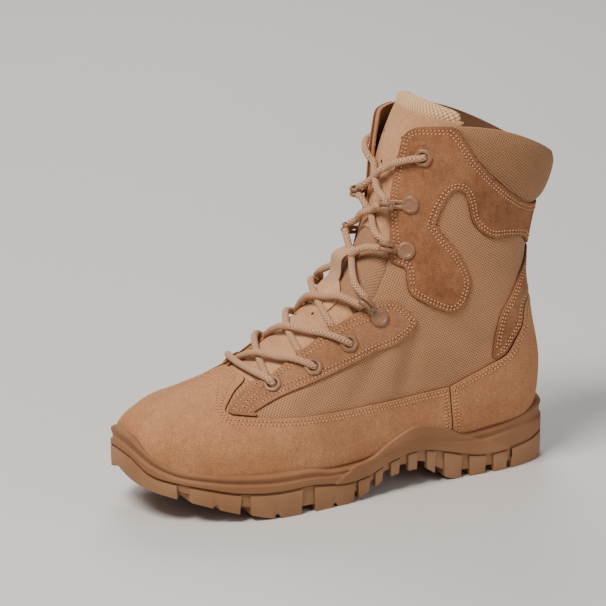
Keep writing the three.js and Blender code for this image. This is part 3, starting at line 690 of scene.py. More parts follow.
class Finish:
    """A material's node tree with short names for its parts."""

    def __init__(self, name, roughness, sheen=0.0, specular=0.25):
        self.material = bpy.data.materials.new(name)
        self.material.use_nodes = True
        self.tree = self.material.node_tree
        self.shader = self.tree.nodes["Principled BSDF"]
        self.shader.inputs["Roughness"].default_value = roughness
        self.shader.inputs["Sheen Weight"].default_value = sheen
        self.shader.inputs["Specular IOR Level"].default_value = specular

    def node(self, kind, **settings):
        made = self.tree.nodes.new(kind)
        for key, value in settings.items():
            setattr(made, key, value)
        return made

    def join(self, source, target):
        self.tree.links.new(source, target)

    def fill(self, socket, value):
        """A socket gets a constant or another node's output."""
        if isinstance(value, (int, float, tuple)):
            socket.default_value = value
        else:
            self.join(value, socket)

    def math(self, operation, *values):
        made = self.node("ShaderNodeMath", operation=operation)
        for socket, value in zip(made.inputs, values):
            self.fill(socket, value)
        return made.outputs[0]

    def plus(self, first, second):
        return self.math("ADD", first, second)

    def times(self, first, second):
        return self.math("MULTIPLY", first, second)

    def noise(self, where, scale, detail=2.0, rough=0.5, stretch=None):
        made = self.node("ShaderNodeTexNoise")
        made.inputs["Scale"].default_value = scale
        made.inputs["Detail"].default_value = detail
        made.inputs["Roughness"].default_value = rough
        if stretch:
            mapping = self.node("ShaderNodeMapping")
            mapping.inputs["Scale"].default_value = stretch
            self.join(where, mapping.inputs["Vector"])
            where = mapping.outputs["Vector"]
        self.join(where, made.inputs["Vector"])
        return made.outputs["Fac"]

    def ramp(self, factor, stops):
        made = self.node("ShaderNodeValToRGB")
        elements = made.color_ramp.elements
        while len(elements) < len(stops):
            elements.new(0.5)
        for element, (position, colour) in zip(elements, stops):
            element.position = position
            element.color = colour
        self.join(factor, made.inputs["Fac"])
        return made.outputs["Color"]

    def mix(self, factor, first, second, blend="MIX"):
        made = self.node("ShaderNodeMix", data_type="RGBA", blend_type=blend)
        for number, value in ((0, factor), (6, first), (7, second)):
            self.fill(made.inputs[number], value)
        return made.outputs[2]

    def colour(self, value):
        self.join(value, self.shader.inputs["Base Color"])

    def bump(self, height, strength, distance, before=None):
        made = self.node("ShaderNodeBump")
        made.inputs["Strength"].default_value = strength
        made.inputs["Distance"].default_value = distance
        self.join(height, made.inputs["Height"])
        if before is not None:
            self.join(before, made.inputs["Normal"])
        self.join(made.outputs["Normal"], self.shader.inputs["Normal"])
        return made.outputs["Normal"]

    def place(self):
        return self.node("ShaderNodeTexCoord").outputs["Object"]

    def uv(self):
        return self.node("ShaderNodeUVMap", uv_map="weave").outputs["UV"]


def suede(name, dark, middle, light, nap=1.0):
    """Blotches, brush marks and nap, mixed from noise at three sizes."""
    finish = Finish(name, 0.95, sheen=0.12)
    finish.shader.inputs["Sheen Roughness"].default_value = 0.45
    finish.shader.inputs["Sheen Tint"].default_value = light
    where = finish.place()
    blotches = finish.noise(where, 30, 3, 0.5)
    brushed = finish.noise(where, 260, 2, 0.6, (1, 1, 0.7))
    fibres = finish.noise(where, 1250, 3, 0.75)
    tone = finish.plus(finish.times(blotches, 0.6), finish.times(brushed, 0.4))
    tone = finish.ramp(tone, [(0.26, dark), (0.5, middle), (0.74, light)])
    speck = finish.ramp(fibres, [(0.32, (0.60, 0.56, 0.52, 1)), (0.68, (1.34, 1.32, 1.30, 1))])
    finish.colour(finish.mix(0.9 * nap, tone, speck, "MULTIPLY"))
    first = finish.bump(fibres, 0.45 * nap, 0.0005)
    finish.bump(brushed, 0.25, 0.0006, first)
    return finish.material


suede_paint = suede("suede", linear(158, 108, 74), linear(172, 122, 86), linear(186, 137, 99))
# The shaft overlay and back stay take a darker copy of the same suede: painted shade for the shaft's half
# shade.
shaft_shaded_paint = suede("suede_shaft_painted_shade", linear(112, 72, 48), linear(140, 95, 66), linear(164, 117, 84))
# The panels' cut edges take a very dark suede: painted shade along each panel's edge.
edge_shade_paint = suede("suede_edge_painted_shade", linear(84, 52, 34), linear(100, 64, 42), linear(116, 76, 52))
# The eyestays take a darker copy of the same suede as well: painted shade.
stay_shaded_paint = suede("suede_stay_painted_shade", linear(132, 90, 62), linear(147, 104, 75), linear(163, 119, 88))
# The tongue's suede is paler: partly its own paler leather, partly painted highlight where it bulges
# forward into the light.
tongue_paint_and_highlight = suede(
    "tongue_suede", linear(172, 126, 92), linear(188, 142, 106), linear(204, 158, 120), 0.8)
tab_paint = suede("suede_tab", linear(184, 138, 98), linear(198, 153, 112), linear(212, 168, 128), 0.7)
print("made", suede_paint.name, tongue_paint_and_highlight.name)

# %% [markdown]
# ## Woven cloth
#
# The quarters are a coarse nylon weave: threads over a millimetre wide that pass over and under each
# other like a basket. The pattern has to follow the cloth, so it reads the piece's own UV map, laid out
# in metres. Every second crossing shows the warp, the others the weft, and each thread is a rounded
# ridge. Its colour darkens towards its sides: painted shade between the threads, beside the bump.

# %% Materials: weave
def woven(name, dark, light, thread, turn, crevice_shade=1.0, depth=0.00035):
    """Over and under: the sign of sin(u) times sin(v) picks warp or weft, and |sin| rounds each thread.
    Its low sides take a darker colour: painted shade between the threads.
    """
    finish = Finish(name, 0.9, sheen=0.08)
    mapping = finish.node("ShaderNodeMapping")
    mapping.inputs["Scale"].default_value = (1 / thread,) * 3
    mapping.inputs["Rotation"].default_value = (0, 0, math.radians(turn))
    finish.join(finish.uv(), mapping.inputs["Vector"])
    split = finish.node("ShaderNodeSeparateXYZ")
    finish.join(mapping.outputs["Vector"], split.inputs["Vector"])
    waves = [finish.math("SINE", finish.times(split.outputs[k], math.pi)) for k in (0, 1)]
    ridges = [finish.math("POWER", finish.math("ABSOLUTE", wave), 0.7) for wave in waves]
    over = finish.math("GREATER_THAN", finish.times(*waves), 0)
    under = finish.math("SUBTRACT", 1, over)
    height = finish.plus(finish.times(ridges[0], over), finish.times(ridges[1], under))
    for ridge in ridges:
        height = finish.times(height, finish.plus(finish.times(ridge, 0.5), 0.5))
    where = finish.place()
    broad = finish.noise(where, 30, 3, 0.55)
    fine = finish.noise(where, 900, 1, 0.5)
    shade = finish.plus(finish.times(height, crevice_shade), finish.times(broad, 0.35))
    shade = finish.plus(shade, finish.times(fine, 0.25))
    finish.colour(finish.ramp(shade, [(0.25, dark), (1.15, light)]))
    finish.bump(height, 0.6, depth)
    return finish.material


# Each cloth's first colour is the painted shade between its threads.
quarter_cloth = woven("woven_fabric", linear(46, 27, 16), linear(182, 132, 95), 0.0015, 33, 1.3, 0.0007)
collar_cloth = woven("padded_fabric", linear(48, 30, 18), linear(166, 120, 84), 0.0015, 38, 1.25, 0.0006)
knit_cloth = woven("knit", linear(120, 84, 52), linear(230, 186, 136), 0.0019, 45, 1.0, 0.0007)
mesh_cloth = woven("mesh", linear(92, 62, 42), linear(178, 132, 98), 0.0010, 20, 0.9, 0.0003)
band_cloth = woven("webbing", linear(136, 98, 70), linear(206, 164, 126), 0.0010, 45, 0.8, 0.0003)
lining_cloth = woven("lining", linear(70, 48, 34), linear(120, 86, 62), 0.0012, 45, 0.7, 0.0002)
print("cloths", quarter_cloth.name, collar_cloth.name, knit_cloth.name, band_cloth.name, lining_cloth.name)

# %% [markdown]
# ## The upper's shell
#
# The real upper is cloth with a lining behind it. It's one sheet with two faces, so a Solidify modifier
# makes the inside from the outside. The throat is cut out, and so are the eyelet holes. What lies under
# the panels is left in, as it is on the real boot.

# %% Upper
def side_weave(points):
    """The cloth's own map: the side view, which is true to size where the cloth shows."""
    return points[:, [0, 2]]


def shell_value(place):
    """How far a place lies inside the shell: above the sole, outside the throat and the holes."""
    points = last_point(*place.T)
    opening = rounded(outside_throat(points), below_rim(place), corner_radius)
    return np.minimum(np.minimum(above_sole(points), opening), outside_holes(points))


place, faces, _ = cut(*grid(section_ladder(0.0, 17.2, 2.2), angle_ladder(0, full_turn, 2.2)), shell_value)
points = skin(*place.T)
upper = make_piece("upper_shell", points, faces, [quarter_cloth, lining_cloth, suede_paint], "woven_fabric",
                   ["upper"], side_weave(points))
wall = upper.modifiers.new("wall", "SOLIDIFY")
wall.thickness = upper_wall * MM
wall.offset = -1
wall.material_offset = 1
wall.material_offset_rim = 2

# %% [markdown]
# ## Suede panels
#
# Six panels are sewn over the shell: the vamp with its rand, the heel counter, the back stay, two
# eyestays and the shaft overlay with its lobe. All come from one function and differ in their outline.

# %% Outlines of the panels
vamp_outline = outline([
    [[0.725, 0.6]], [[0.725, 0.312]],
    [[0.733, 0.289], [0.767, 0.261], [0.793, 0.234]],
    [[0.801, 0.222], [0.795, 0.212]],
    [[0.695, 0.204], [0.590, 0.202], [0.420, 0.197], [0.292, 0.193]],
    [[0.286, 0.115], [0.275, 0.0]],
    [[0.275, -0.2]], [[1.1, -0.2]], [[1.1, 0.6]],
])
counter_outline = outline([
    [[-0.2, -0.2]], [[0.273, -0.2]], [[0.273, 0.0]],
    [[0.284, 0.115], [0.290, 0.192]],
    [[0.269, 0.201], [0.223, 0.220], [0.191, 0.236], [0.150, 0.257], [0.127, 0.299], [0.106, 0.340],
     [0.097, 0.388], [0.079, 0.408], [0.026, 0.415]],
    [[-0.2, 0.415]],
])
stay_outline = outline([
    [[0.026, 0.417]],
    [[0.080, 0.410], [0.099, 0.390], [0.108, 0.342], [0.129, 0.304], [0.152, 0.265], [0.186, 0.247]],
    [[0.183, 0.305], [0.178, 0.348], [0.166, 0.398], [0.148, 0.427]],
    [[0.134, 0.454], [0.113, 0.494], [0.092, 0.520], [0.078, 0.540], [0.066, 0.5635]],
    [[-0.2, 0.5635]], [[-0.2, 0.417]],
])
eyestay_outline = outline([
    [[0.717, 0.241], [0.668, 0.269], [0.578, 0.308], [0.468, 0.352], [0.417, 0.365]],
    [[0.381, 0.389], [0.366, 0.418], [0.379, 0.448], [0.406, 0.482], [0.430, 0.492], [0.462, 0.490]],
    [[0.520, 0.700]], [[0.716, 0.500]], [[0.716, 0.300]],
    [[0.7225, 0.311], [0.730, 0.288], [0.764, 0.260], [0.790, 0.234], [0.797, 0.222], [0.792, 0.2145]],
    [[0.736, 0.2095]], [[0.748, 0.221]],
])
shaft_outline = outline([
    [[-0.2, 0.564]], [[0.026, 0.564]],
    [[0.070, 0.574], [0.107, 0.614], [0.155, 0.628], [0.192, 0.637], [0.220, 0.662], [0.240, 0.700],
     [0.249, 0.751], [0.260, 0.788], [0.274, 0.803], [0.292, 0.793], [0.308, 0.753], [0.318, 0.705]],
    [[0.294, 0.654], [0.270, 0.609], [0.251, 0.556], [0.242, 0.518], [0.244, 0.486], [0.257, 0.442],
     [0.285, 0.423], [0.330, 0.453], [0.373, 0.498], [0.380, 0.541], [0.380, 0.576], [0.404, 0.596],
     [0.426, 0.632]],
    [[0.560, 0.700]], [[0.560, 1.400]], [[0.285, 1.400]], [[0.285, 1.000]],
    [[0.264, 0.954], [0.233, 0.882], [0.181, 0.803], [0.131, 0.747], [0.085, 0.715], [0.026, 0.700]],
    [[-0.2, 0.700]],
])
pad_outline = outline([
    [[0.026, 0.705]],
    [[0.083, 0.720], [0.129, 0.752], [0.179, 0.808], [0.231, 0.886], [0.262, 0.957], [0.282, 1.000]],
    [[0.282, 1.400]], [[-0.2, 1.400]], [[-0.2, 0.705]],
])
print("outlines have", len(vamp_outline), len(shaft_outline), "corners at most")

# %% [markdown]
# ## Cutting the leather
#
# One table names each panel's paint and outline, what else bounds it, and the part of the last that it's
# cut from. The same table serves again when the seams are stitched.

# %% Suede panels
panel_step = 1.5
behind_throat = (0.6, full_turn - 0.6)
# name: paint, outline, what else bounds it, sections, angles
panels = {
    "vamp_rand": (suede_paint, vamp_outline, {}, (0.0, 14.0), (-half_turn, half_turn)),
    "heel_counter": (suede_paint, counter_outline, {"throat": False}, (8.0, 15.0), behind_throat),
    "back_stay": (shaft_shaded_paint, stay_outline, {"throat": False}, (11.0, 16.5), behind_throat),
    "lower_eyestay_lateral": (
        stay_shaded_paint, eyestay_outline, {"side": 1, "holes": True}, (5.0, 12.5), (0.0, half_turn)),
    "lower_eyestay_medial": (
        stay_shaded_paint, eyestay_outline, {"side": -1, "holes": True}, (5.0, 12.5), (-half_turn, 0.0)),
    "shaft_overlay": (
        shaft_shaded_paint, shaft_outline, {"holes": True, "rim": True}, (8.5, 17.2), (0.0, full_turn)),
}
for name, (paint, polygon, bounds, sections, angles) in panels.items():
    points, faces, edge_faces = panel(
        section_ladder(*sections, panel_step), angle_ladder(*angles, panel_step),
        side_value(polygon, **bounds), flat_lift)
    # The faces of the cut edge take the dark suede: painted shade along the panel's edge.
    in_edge_shade = np.arange(len(faces)) >= len(faces) - edge_faces
    make_piece(f"{name}_suede", points, faces, [paint, edge_shade_paint], "suede", [name], which=in_edge_shade)

# %% [markdown]
# ## The collar pad
#
# Foam in cloth wraps the back of the collar. It is thickest in its middle and drawn down to nothing
# along its seams, so its lift is a curve that rises steeply from the seam and then levels off. It rolls
# over the rim, so there it is rounded like a lip.

# %% Collar pad
def pad_value(place):
    """How far a place lies inside the pad's outline and below the rim."""
    points = last_point(*place.T)
    return np.minimum(inside_by(points[:, [0, 2]], pad_outline), below_rim(place))


def pad_lift(depth):
    """Foam's height over the seam: it rises in a rounded shoulder and levels off."""
    return 0.6 + 4.2 * (1 - np.exp(-np.maximum(depth, 0) / 4.5))


points, faces, _ = panel(section_ladder(13.5, 17.2, panel_step), angle_ladder(*behind_throat, panel_step),
                         pad_value, pad_lift, rounding=0.5)
rim_line = last_point(np.full(721, 16.0), np.linspace(0, full_turn, 721))
rim_middle = rim_line.mean(0)


def round_collar(points):
    """The pad's own map: length round the collar, found from the bearing, and height."""
    bearing = np.arctan2(*(rim_line - rim_middle)[:, 1::-1].T)
    order = np.argsort(bearing)
    steps = np.linalg.norm(np.diff(rim_line[order], axis=0), axis=1)
    length = np.concatenate([[0], np.cumsum(steps)])
    own = np.arctan2(*(points - rim_middle)[:, 1::-1].T)
    return np.stack([np.interp(own, bearing[order], length), points[:, 2]], 1)


pad_map = round_collar(points)
pad = make_piece("collar_padding", points, faces, [collar_cloth], "padded_fabric", ["collar_pad"], pad_map)


# %% [markdown]
# ## Rubber
#
# The sole is moulded rubber. Its mould was sanded, so the surface is matt with a very fine grain, and
# handling leaves it a little paler in places. Two rubbers differ only in colour: a broad noise gives the
# paler places and a fine one the grain. Metal, thread, the needle holes' painted shade and foam are
# simpler still: one noise mixes two tones, and it can raise the surface too.

# %% Materials: rubber, paint and foam
def rubber(name, dark, light, roughness=0.62):
    """Matt rubber: broad clouds of tone and a fine sanded grain."""
    finish = Finish(name, roughness)
    where = finish.place()
    clouds = finish.noise(where, 26, 3, 0.5)
    grain = finish.noise(where, 2600, 1, 0.5)
    finish.colour(finish.ramp(clouds, [(0.3, dark), (0.7, light)]))
    finish.bump(grain, 0.12, 0.0003)
    return finish.material


sidewall_rubber = rubber("midsole_rubber", linear(128, 87, 57), linear(148, 105, 74))
tread_rubber = rubber("rubber", linear(136, 97, 67), linear(156, 116, 85))



def speckled(name, roughness, noise, dark, light, bump=None, **settings):
    """Two tones mixed by one noise of scale, detail and roughness, which also gives the bump."""
    finish = Finish(name, roughness, **settings)
    grain = finish.noise(finish.place(), *noise)
    finish.colour(finish.ramp(grain, [dark, light]))
    if bump:
        finish.bump(grain, *bump)
    return finish.material


painted = speckled("painted_metal", 0.42, (260, 3, 0.6), (0.35, linear(128, 90, 64)),
                   (0.72, linear(148, 108, 80)), (0.05, 0.0002), specular=0.5)
thread = speckled("thread", 0.8, (300, 2, 0.5), (0.3, linear(182, 132, 94)), (0.7, linear(212, 162, 118)),
                  sheen=0.1)
# The needle holes are dark beads: painted shade of the hole.
shadow = speckled("needle_hole_painted_shade", 1.0, (400,), (0.3, linear(58, 34, 22)), (0.7, linear(78, 48, 32)))
foam = speckled("insole_foam", 0.9, (700, 2, 0.6), (0.3, linear(96, 70, 50)), (0.7, linear(126, 94, 68)),
                (0.2, 0.0004))
print("made", sidewall_rubber.name, tread_rubber.name, painted.name, thread.name, shadow.name, foam.name)

# %% [markdown]
# ## The sole's outline
#
# The sole is drawn as the maker of its mould draws it: a plan outline, and heights along it. The
# outline is one closed curve. Moving every point along its inward normal gives the parallel curves
# that the side's profile needs, so the band keeps its thickness round the toe and the heel.

# %% Sole outline
# at, outer, inner, top, step, low, ground
sole_rows = np.array([
    [0, 0, 0, 0.56, 0.10, 0.74, 0.15],
    [0.013, 0.150, 0.150, 0.54, 0.08, 0.70, 0.04],
    [0.039, 0.243, 0.243, 0.51, 0.05, 0.66, 0],
    [0.082, 0.308, 0.308, 0.41, 0.02, 0.58, 0],
    [0.148, 0.350, 0.346, 0.23, -0.04, 0.51, 0],
    [0.200, 0.357, 0.338, 0.19, -0.13, 0.52, 0],
    [0.246, 0.360, 0.327, 0.22, -0.05, 0.64, 0],
    [0.290, 0.366, 0.313, 0.56, 0.08, 0.82, 0.08],
    [0.344, 0.379, 0.299, 0.88, 0.30, 1.04, 0.48],
    [0.390, 0.398, 0.300, 0.88, 0.33, 1.10, 0.56],
    [0.443, 0.421, 0.304, 0.62, 0.22, 1.00, 0.52],
    [0.490, 0.446, 0.330, 0.30, 0.06, 0.80, 0.26],
    [0.541, 0.472, 0.364, 0.24, 0.03, 0.72, 0.02],
    [0.590, 0.492, 0.403, 0.26, 0.05, 0.78, 0],
    [0.639, 0.509, 0.439, 0.40, 0.12, 0.88, 0],
    [0.721, 0.519, 0.481, 0.41, 0.13, 0.86, 0.02],
    [0.803, 0.486, 0.491, 0.45, 0.17, 0.93, 0.30],
    [0.869, 0.421, 0.458, 0.46, 0.19, 1.03, 0.53],
    [0.925, 0.327, 0.393, 0.46, 0.19, 1.04, 0.66],
    [0.967, 0.226, 0.299, 0.64, 0.32, 1.07, 0.73],
    [0.990, 0.095, 0.206, 0.92, 0.55, 1.28, 0.82],
    [1.000, -0.056, 0.075, 1.00, 0.66, 1.34, 0.98],
])


def sole_loop(count):
    """The plan outline, evenly stepped: rows from the heel to the toe outside and back inside."""
    t = np.linspace(0, len(sole_rows) - 1, 1500)
    at, outer, inner, top, step, low, ground = between(sole_rows, t).T
    x = half_length - at * sole_length
    bed = footbed(at)
    walls = [bed + top * sidewall_height, bed + step * sidewall_height]
    heights = [*walls, low * bed, np.maximum(ground, 0) * bed]
    outside = np.stack([x, -outer * ball_width, at, *heights], 1)
    inside = np.stack([x, inner * ball_width, at, *heights], 1)
    loop = np.vstack([outside, inside[::-1]])
    run = np.concatenate([[0], np.cumsum(np.linalg.norm(np.diff(loop[:, :2], axis=0), axis=1))])
    even = np.linspace(0, run[-1], count, endpoint=False)
    loop = np.stack([np.interp(even, run, column) for column in loop.T], 1)
    for _ in range(12):
        loop = (np.roll(loop, 1, 0) + 2 * loop + np.roll(loop, -1, 0)) / 4
    return loop


def parallel(loop, inset):
    """The loop's plan moved inwards along its normal by an inset for each point."""
    run = unit(np.roll(loop[:, :2], -1, 0) - np.roll(loop[:, :2], 1, 0))
    return loop[:, :2] + np.stack([run[:, 1], -run[:, 0]], 1) * np.asarray(inset)[..., None]


loop = sole_loop(720)
print("sole outline", round(float(np.linalg.norm(np.diff(loop[:, :2], axis=0), axis=1).sum())), "mm round")

# %% [markdown]
# ## The sidewall
#
# Seen in section, the sidewall has a rounded bead on top, a hollow flank, a ledge and a lower band.
# Beside the arch its top stands out in a crest, and a swelling runs down towards the heel. Each is a
# small curve of height in millimetres, and the inset is their sum.

# %% Sidewall
def arch_line(at):
    """Height over the footbed, in sidewall heights, of the arch's swelling, which dives at the heel."""
    return np.interp(at, [0.06, 0.10, 0.15, 0.19, 0.22, 0.25, 0.30, 0.40, 0.52, 0.60],
                     [-0.80, -0.62, -0.42, -0.16, 0.00, 0.16, 0.62, 0.98, 0.30, -0.3])


def sidewall_rings(loop):
    """Rings of the flank from the hidden foot of the wall to its hidden inner lip."""
    at, top, step, low = loop[:, 2:6].T
    swell_top = footbed(at) + arch_line(at) * sidewall_height
    crest_out, crest_at, crest_width = 3.6, 0.365, 0.085
    crest = crest_out * np.exp(-(((at - crest_at) / crest_width) ** 2))
    hidden_foot = low + 0.4
    rings = []
    shares = np.concatenate([np.linspace(0, 0.16, 5), np.linspace(0.2, 0.8, 16), np.linspace(0.83, 1, 7)])
    for share in shares:
        z = hidden_foot + (top - hidden_foot) * share
        bead = 1.1 * np.exp(-(((top - z) - 2.4) / 1.7) ** 2)
        ledge = 1.3 * smooth(z - step, -0.5, 0.9)
        corner = 1.6 * smooth(z - top, -1.9, 0.2) ** 2
        groove = 0.45 * np.exp(-((z - step - 1.6) / 0.5) ** 2)
        swelling = 1.9 * smooth(swell_top - z, -0.6, 1.1)
        bulge = crest * smooth(z - step, -4.0, 6.0)
        foot = 1.4 * (1 - smooth(z - low, 0.0, 1.1))
        inset = ledge + corner + groove + foot - bead * 0.9 - np.where(at < 0.62, swelling, 0)
        rings.append(np.column_stack([parallel(loop, np.maximum(inset, -0.7) - bulge), z]))
    for inset, drop in ((3.6, 0.0), (5.2, 0.7), (7.5, 3.0)):
        rings.append(np.column_stack([parallel(loop, inset - crest * 0.8), top - drop]))
    rings.insert(0, np.column_stack([parallel(loop, np.full(len(loop), 5.0)), hidden_foot]))
    return np.stack(rings)


rings = sidewall_rings(loop)
sidewall_faces = ring_faces(len(rings), len(loop))[:, ::-1]
make_piece("sole_sidewall", rings.reshape(-1, 3), sidewall_faces, [sidewall_rubber], "midsole_rubber",
           ["midsole"])

# %% [markdown]
# ## The tread
#
# The tread is a slab with blocks on it. The slab's side stands a little behind the blocks' faces. Each
# block is a short loft along the outline: four corners in section, carried from one station to the
# next, with its ends closed. The forefoot's wide blocks have a small half-round notch in the lower edge.
# A Bevel modifier breaks all their edges at once.

# %% Tread
side_lugs = [
    (0.134, 0.172), (0.190, 0.232), (0.250, 0.296), (0.490, 0.522), (0.530, 0.632), (0.662, 0.780),
    (0.800, 0.899),
]
arch_ribs = [(0.318, 0.341), (0.365, 0.390), (0.412, 0.436), (0.456, 0.477)]
notched = set(side_lugs[-3:])
notch_height, notch_share = 3.0, 0.12


def stretch_of(side, start, end, count):
    """The outline's points between two shares of the length, on the outer (-1) or inner (1) side."""
    half = loop[: len(loop) // 2] if side < 0 else loop[len(loop) // 2:][::-1]
    order = np.argsort(half[:, 2])
    at = np.linspace(start, end, count)
    return np.stack([np.interp(at, half[order, 2], half[order, k]) for k in range(7)], 1)


def block(side, start, end, reach, lean=0.003, notch=False):
    """A lug: four corners in section at each station, narrower at its foot, closed at both ends."""
    stations = 41 if notch else 5
    upper_row = stretch_of(side, start, end, stations)
    lower_row = stretch_of(side, start + lean, end - lean, stations)
    roof, foot = upper_row[:, 5] - 1.0, upper_row[:, 6]
    if notch:
        f = np.linspace(-1, 1, stations)
        foot = foot + notch_height * np.sqrt(np.maximum(0, 1 - (f / notch_share) ** 2))
    outside = [(lower_row, 0.4, foot), (upper_row, 0.0, roof)]
    inside = [(upper_row, reach, roof), (lower_row, reach, foot)]
    corners = [
        np.column_stack([row[:, 0], row[:, 1] - side * inset, z])
        for row, inset, z in outside + inside
    ]
    ring = np.stack(corners, 1)
    faces = ring_faces(stations, 4)
    caps = np.array([[0, 3, 2, 1], [0, 1, 2, 3]]) + np.array([[0], [4 * (stations - 1)]])
    faces = np.vstack([faces[:, ::-1], caps[:, ::-1]])
    return ring.reshape(-1, 3), faces if side < 0 else faces[:, ::-1]


def merged(parts):
    """Several meshes as one: each part's faces count on from the points before it."""
    starts = np.cumsum([0] + [len(points) for points, _ in parts[:-1]])
    points = np.concatenate([points for points, _ in parts])
    return points, np.concatenate([faces + start for (_, faces), start in zip(parts, starts)])


def slab_band(inset, grow):
    """The slab's side between the blocks, from under the midsole down to its foot and inwards."""
    low, ground = loop[:, 5:7].T
    foot = np.minimum(ground + grow, low - 2.5)
    rings = [
        (6.0, low - 0.3), (inset, low - 0.3), (inset, (low + foot) / 2), (inset + 0.3, foot),
        (inset + 1.2, foot - 0.4),
    ]
    return [np.column_stack([parallel(loop, np.full(len(loop), i)), z]) for i, z in rings]


def end_block(limit, heel):
    """The block that runs round the heel or the toe: five corners in section, carried round the tip."""
    around = np.roll(loop, len(loop) // 2, 0) if heel else loop
    chosen = around[:, 2] < limit if heel else around[:, 2] > limit
    first, last = np.flatnonzero(chosen)[[0, -1]]
    ground, depth = around[:, 6], 11.0
    roof, waist = around[:, 5] - 1.0, (ground + around[:, 5]) / 2
    corners = ((0.3, ground), (0.0, waist), (0.0, roof), (depth, roof), (depth, ground))
    rows = [np.column_stack([parallel(around, np.full(len(around), inset)), z]) for inset, z in corners]
    ring = np.stack(rows, 1)[first:last + 1]
    count = len(ring)
    caps = np.array([[0, 4, 3, 1], [0, 1, 3, 4]]) + np.array([[0], [5 * (count - 1)]])
    return ring.reshape(-1, 3), np.vstack([ring_faces(count, 5)[:, ::-1], caps[:, ::-1]])


def middle_of(at):
    """The sole's middle line, halfway between the outline's two sides, and the ground's height there."""
    outer, inner = (stretch_of(side, 0.0, 1.0, 200) for side in (-1, 1))
    middle = (outer[:, 1] + inner[:, 1]) / 2
    return np.interp(at, outer[:, 2], middle), np.interp(at, outer[:, 2], outer[:, 6])


def chevron(at):
    """A lug in the middle of the tread: a swept bar of six corners, from the ground up into the slab."""
    x = half_length - at * sole_length
    y, ground = middle_of(at)
    outer, inner = stretch_of(-1, at, at, 1)[0], stretch_of(1, at, at, 1)[0]
    half = max((inner[1] - outer[1]) / 2 - 22, 4)
    nose = min(9, half)
    back = x + 11
    plan = np.array([[x, -half], [x - nose, 0], [x, half], [back, half], [back - nose, 0], [back, -half]])
    low = np.column_stack([plan[:, 0], plan[:, 1] + y, np.full(6, ground)])
    high = low + [0, 0, 6.5]
    caps = np.array([[0, 1, 4, 5], [1, 2, 3, 4], [11, 10, 7, 6], [10, 9, 8, 7]])
    return np.concatenate([low, high]), np.vstack([ring_faces(2, 6), caps])


band = slab_band(1.7, 5.0)
# The slab's underside closes on the sole's middle line, which ends a little before heel and toe
band.append(np.column_stack([loop[:, 0] * 0.985, middle_of(loop[:, 2])[0], band[-1][:, 2]]))
parts = [(np.concatenate(band), ring_faces(len(band), len(loop)))]
for side in (-1, 1):
    parts += [block(side, *span, 19.0, notch=span in notched) for span in side_lugs]
    parts += [block(side, *span, 5.0, 0.002) for span in arch_ribs]
parts += [end_block(0.125, True), end_block(0.922, False)]
parts += [chevron(at) for at in (0.085, 0.160, 0.235, 0.555, 0.627, 0.699, 0.771, 0.843, 0.905)]
points, faces = merged(parts)
tread = make_piece("tread", points, faces, [tread_rubber], "rubber", ["outsole"])
edges = tread.modifiers.new("broken_edges", "BEVEL")
edges.width = 0.6 * MM
edges.segments = 2
edges.limit_method = "ANGLE"
edges.angle_limit = math.radians(35)


# %% [markdown]
# ## The tongue
#
# The tongue is a padded sheet under the flaps: knitted cloth, with suede sewn over its lower and upper
# parts. It lies along the last's front line and leans back at its top. Each layer is a strip: at every
# section it reaches the same share of its width to both sides, so its edges are smooth by themselves.
# Outer and inner faces meet in a rounded edge, so the strip is a closed pad.

# %% Strips on the tongue
def over_collar(t, a):
    """The last's surface, carried straight on over the collar by its slope there."""
    held = np.minimum(t, top_section)
    along, _ = slopes(last_point, held, a)
    return last_point(held, a) + along * (t - held)[..., None]


def tongue_skin(t, a, lift=0.0):
    """The surface over the collar with a lift, leaning back with the square of the way up."""
    normal = last_normal(np.minimum(t, top_section), a)
    base = over_collar(t, a) + normal * np.asarray(lift, float)[..., None]
    lean_from, lean_over, lean_back = top_section - 2.5, 3.5, 16.0
    lean = np.maximum(0, t - lean_from) / lean_over
    base[..., 0] += lean_back * lean**2
    return base


front_t = np.linspace(4.0, 18.4, 800)
front_up = throat_view(over_collar(front_t, np.zeros(800)))[:, 1] / throat_length


def angle_at(t, across):
    """The angle whose point lies so many millimetres from the middle line, found by halving."""
    t = np.minimum(t, top_section)
    low, high = np.zeros(t.shape), np.full(t.shape, 1.5)
    middle = last_point(t, np.zeros(t.shape))[..., 1]
    sign = np.where(across < 0, -1.0, 1.0)
    for _ in range(22):
        half = (low + high) / 2
        short = np.abs(last_point(t, sign * half)[..., 1] - middle) < np.abs(across)
        low, high = np.where(short, half, low), np.where(short, high, half)
    return sign * (low + high) / 2


def two_sided(top, under):
    """Points of two equal grids that share their rim, and the tables of their numbers."""
    index = np.arange(top.shape[0] * top.shape[1]).reshape(top.shape[:2])
    back = index + index.size
    back[0], back[-1], back[:, 0], back[:, -1] = index[0], index[-1], index[:, 0], index[:, -1]
    return np.concatenate([top.reshape(-1, 3), under.reshape(-1, 3)]), index, back


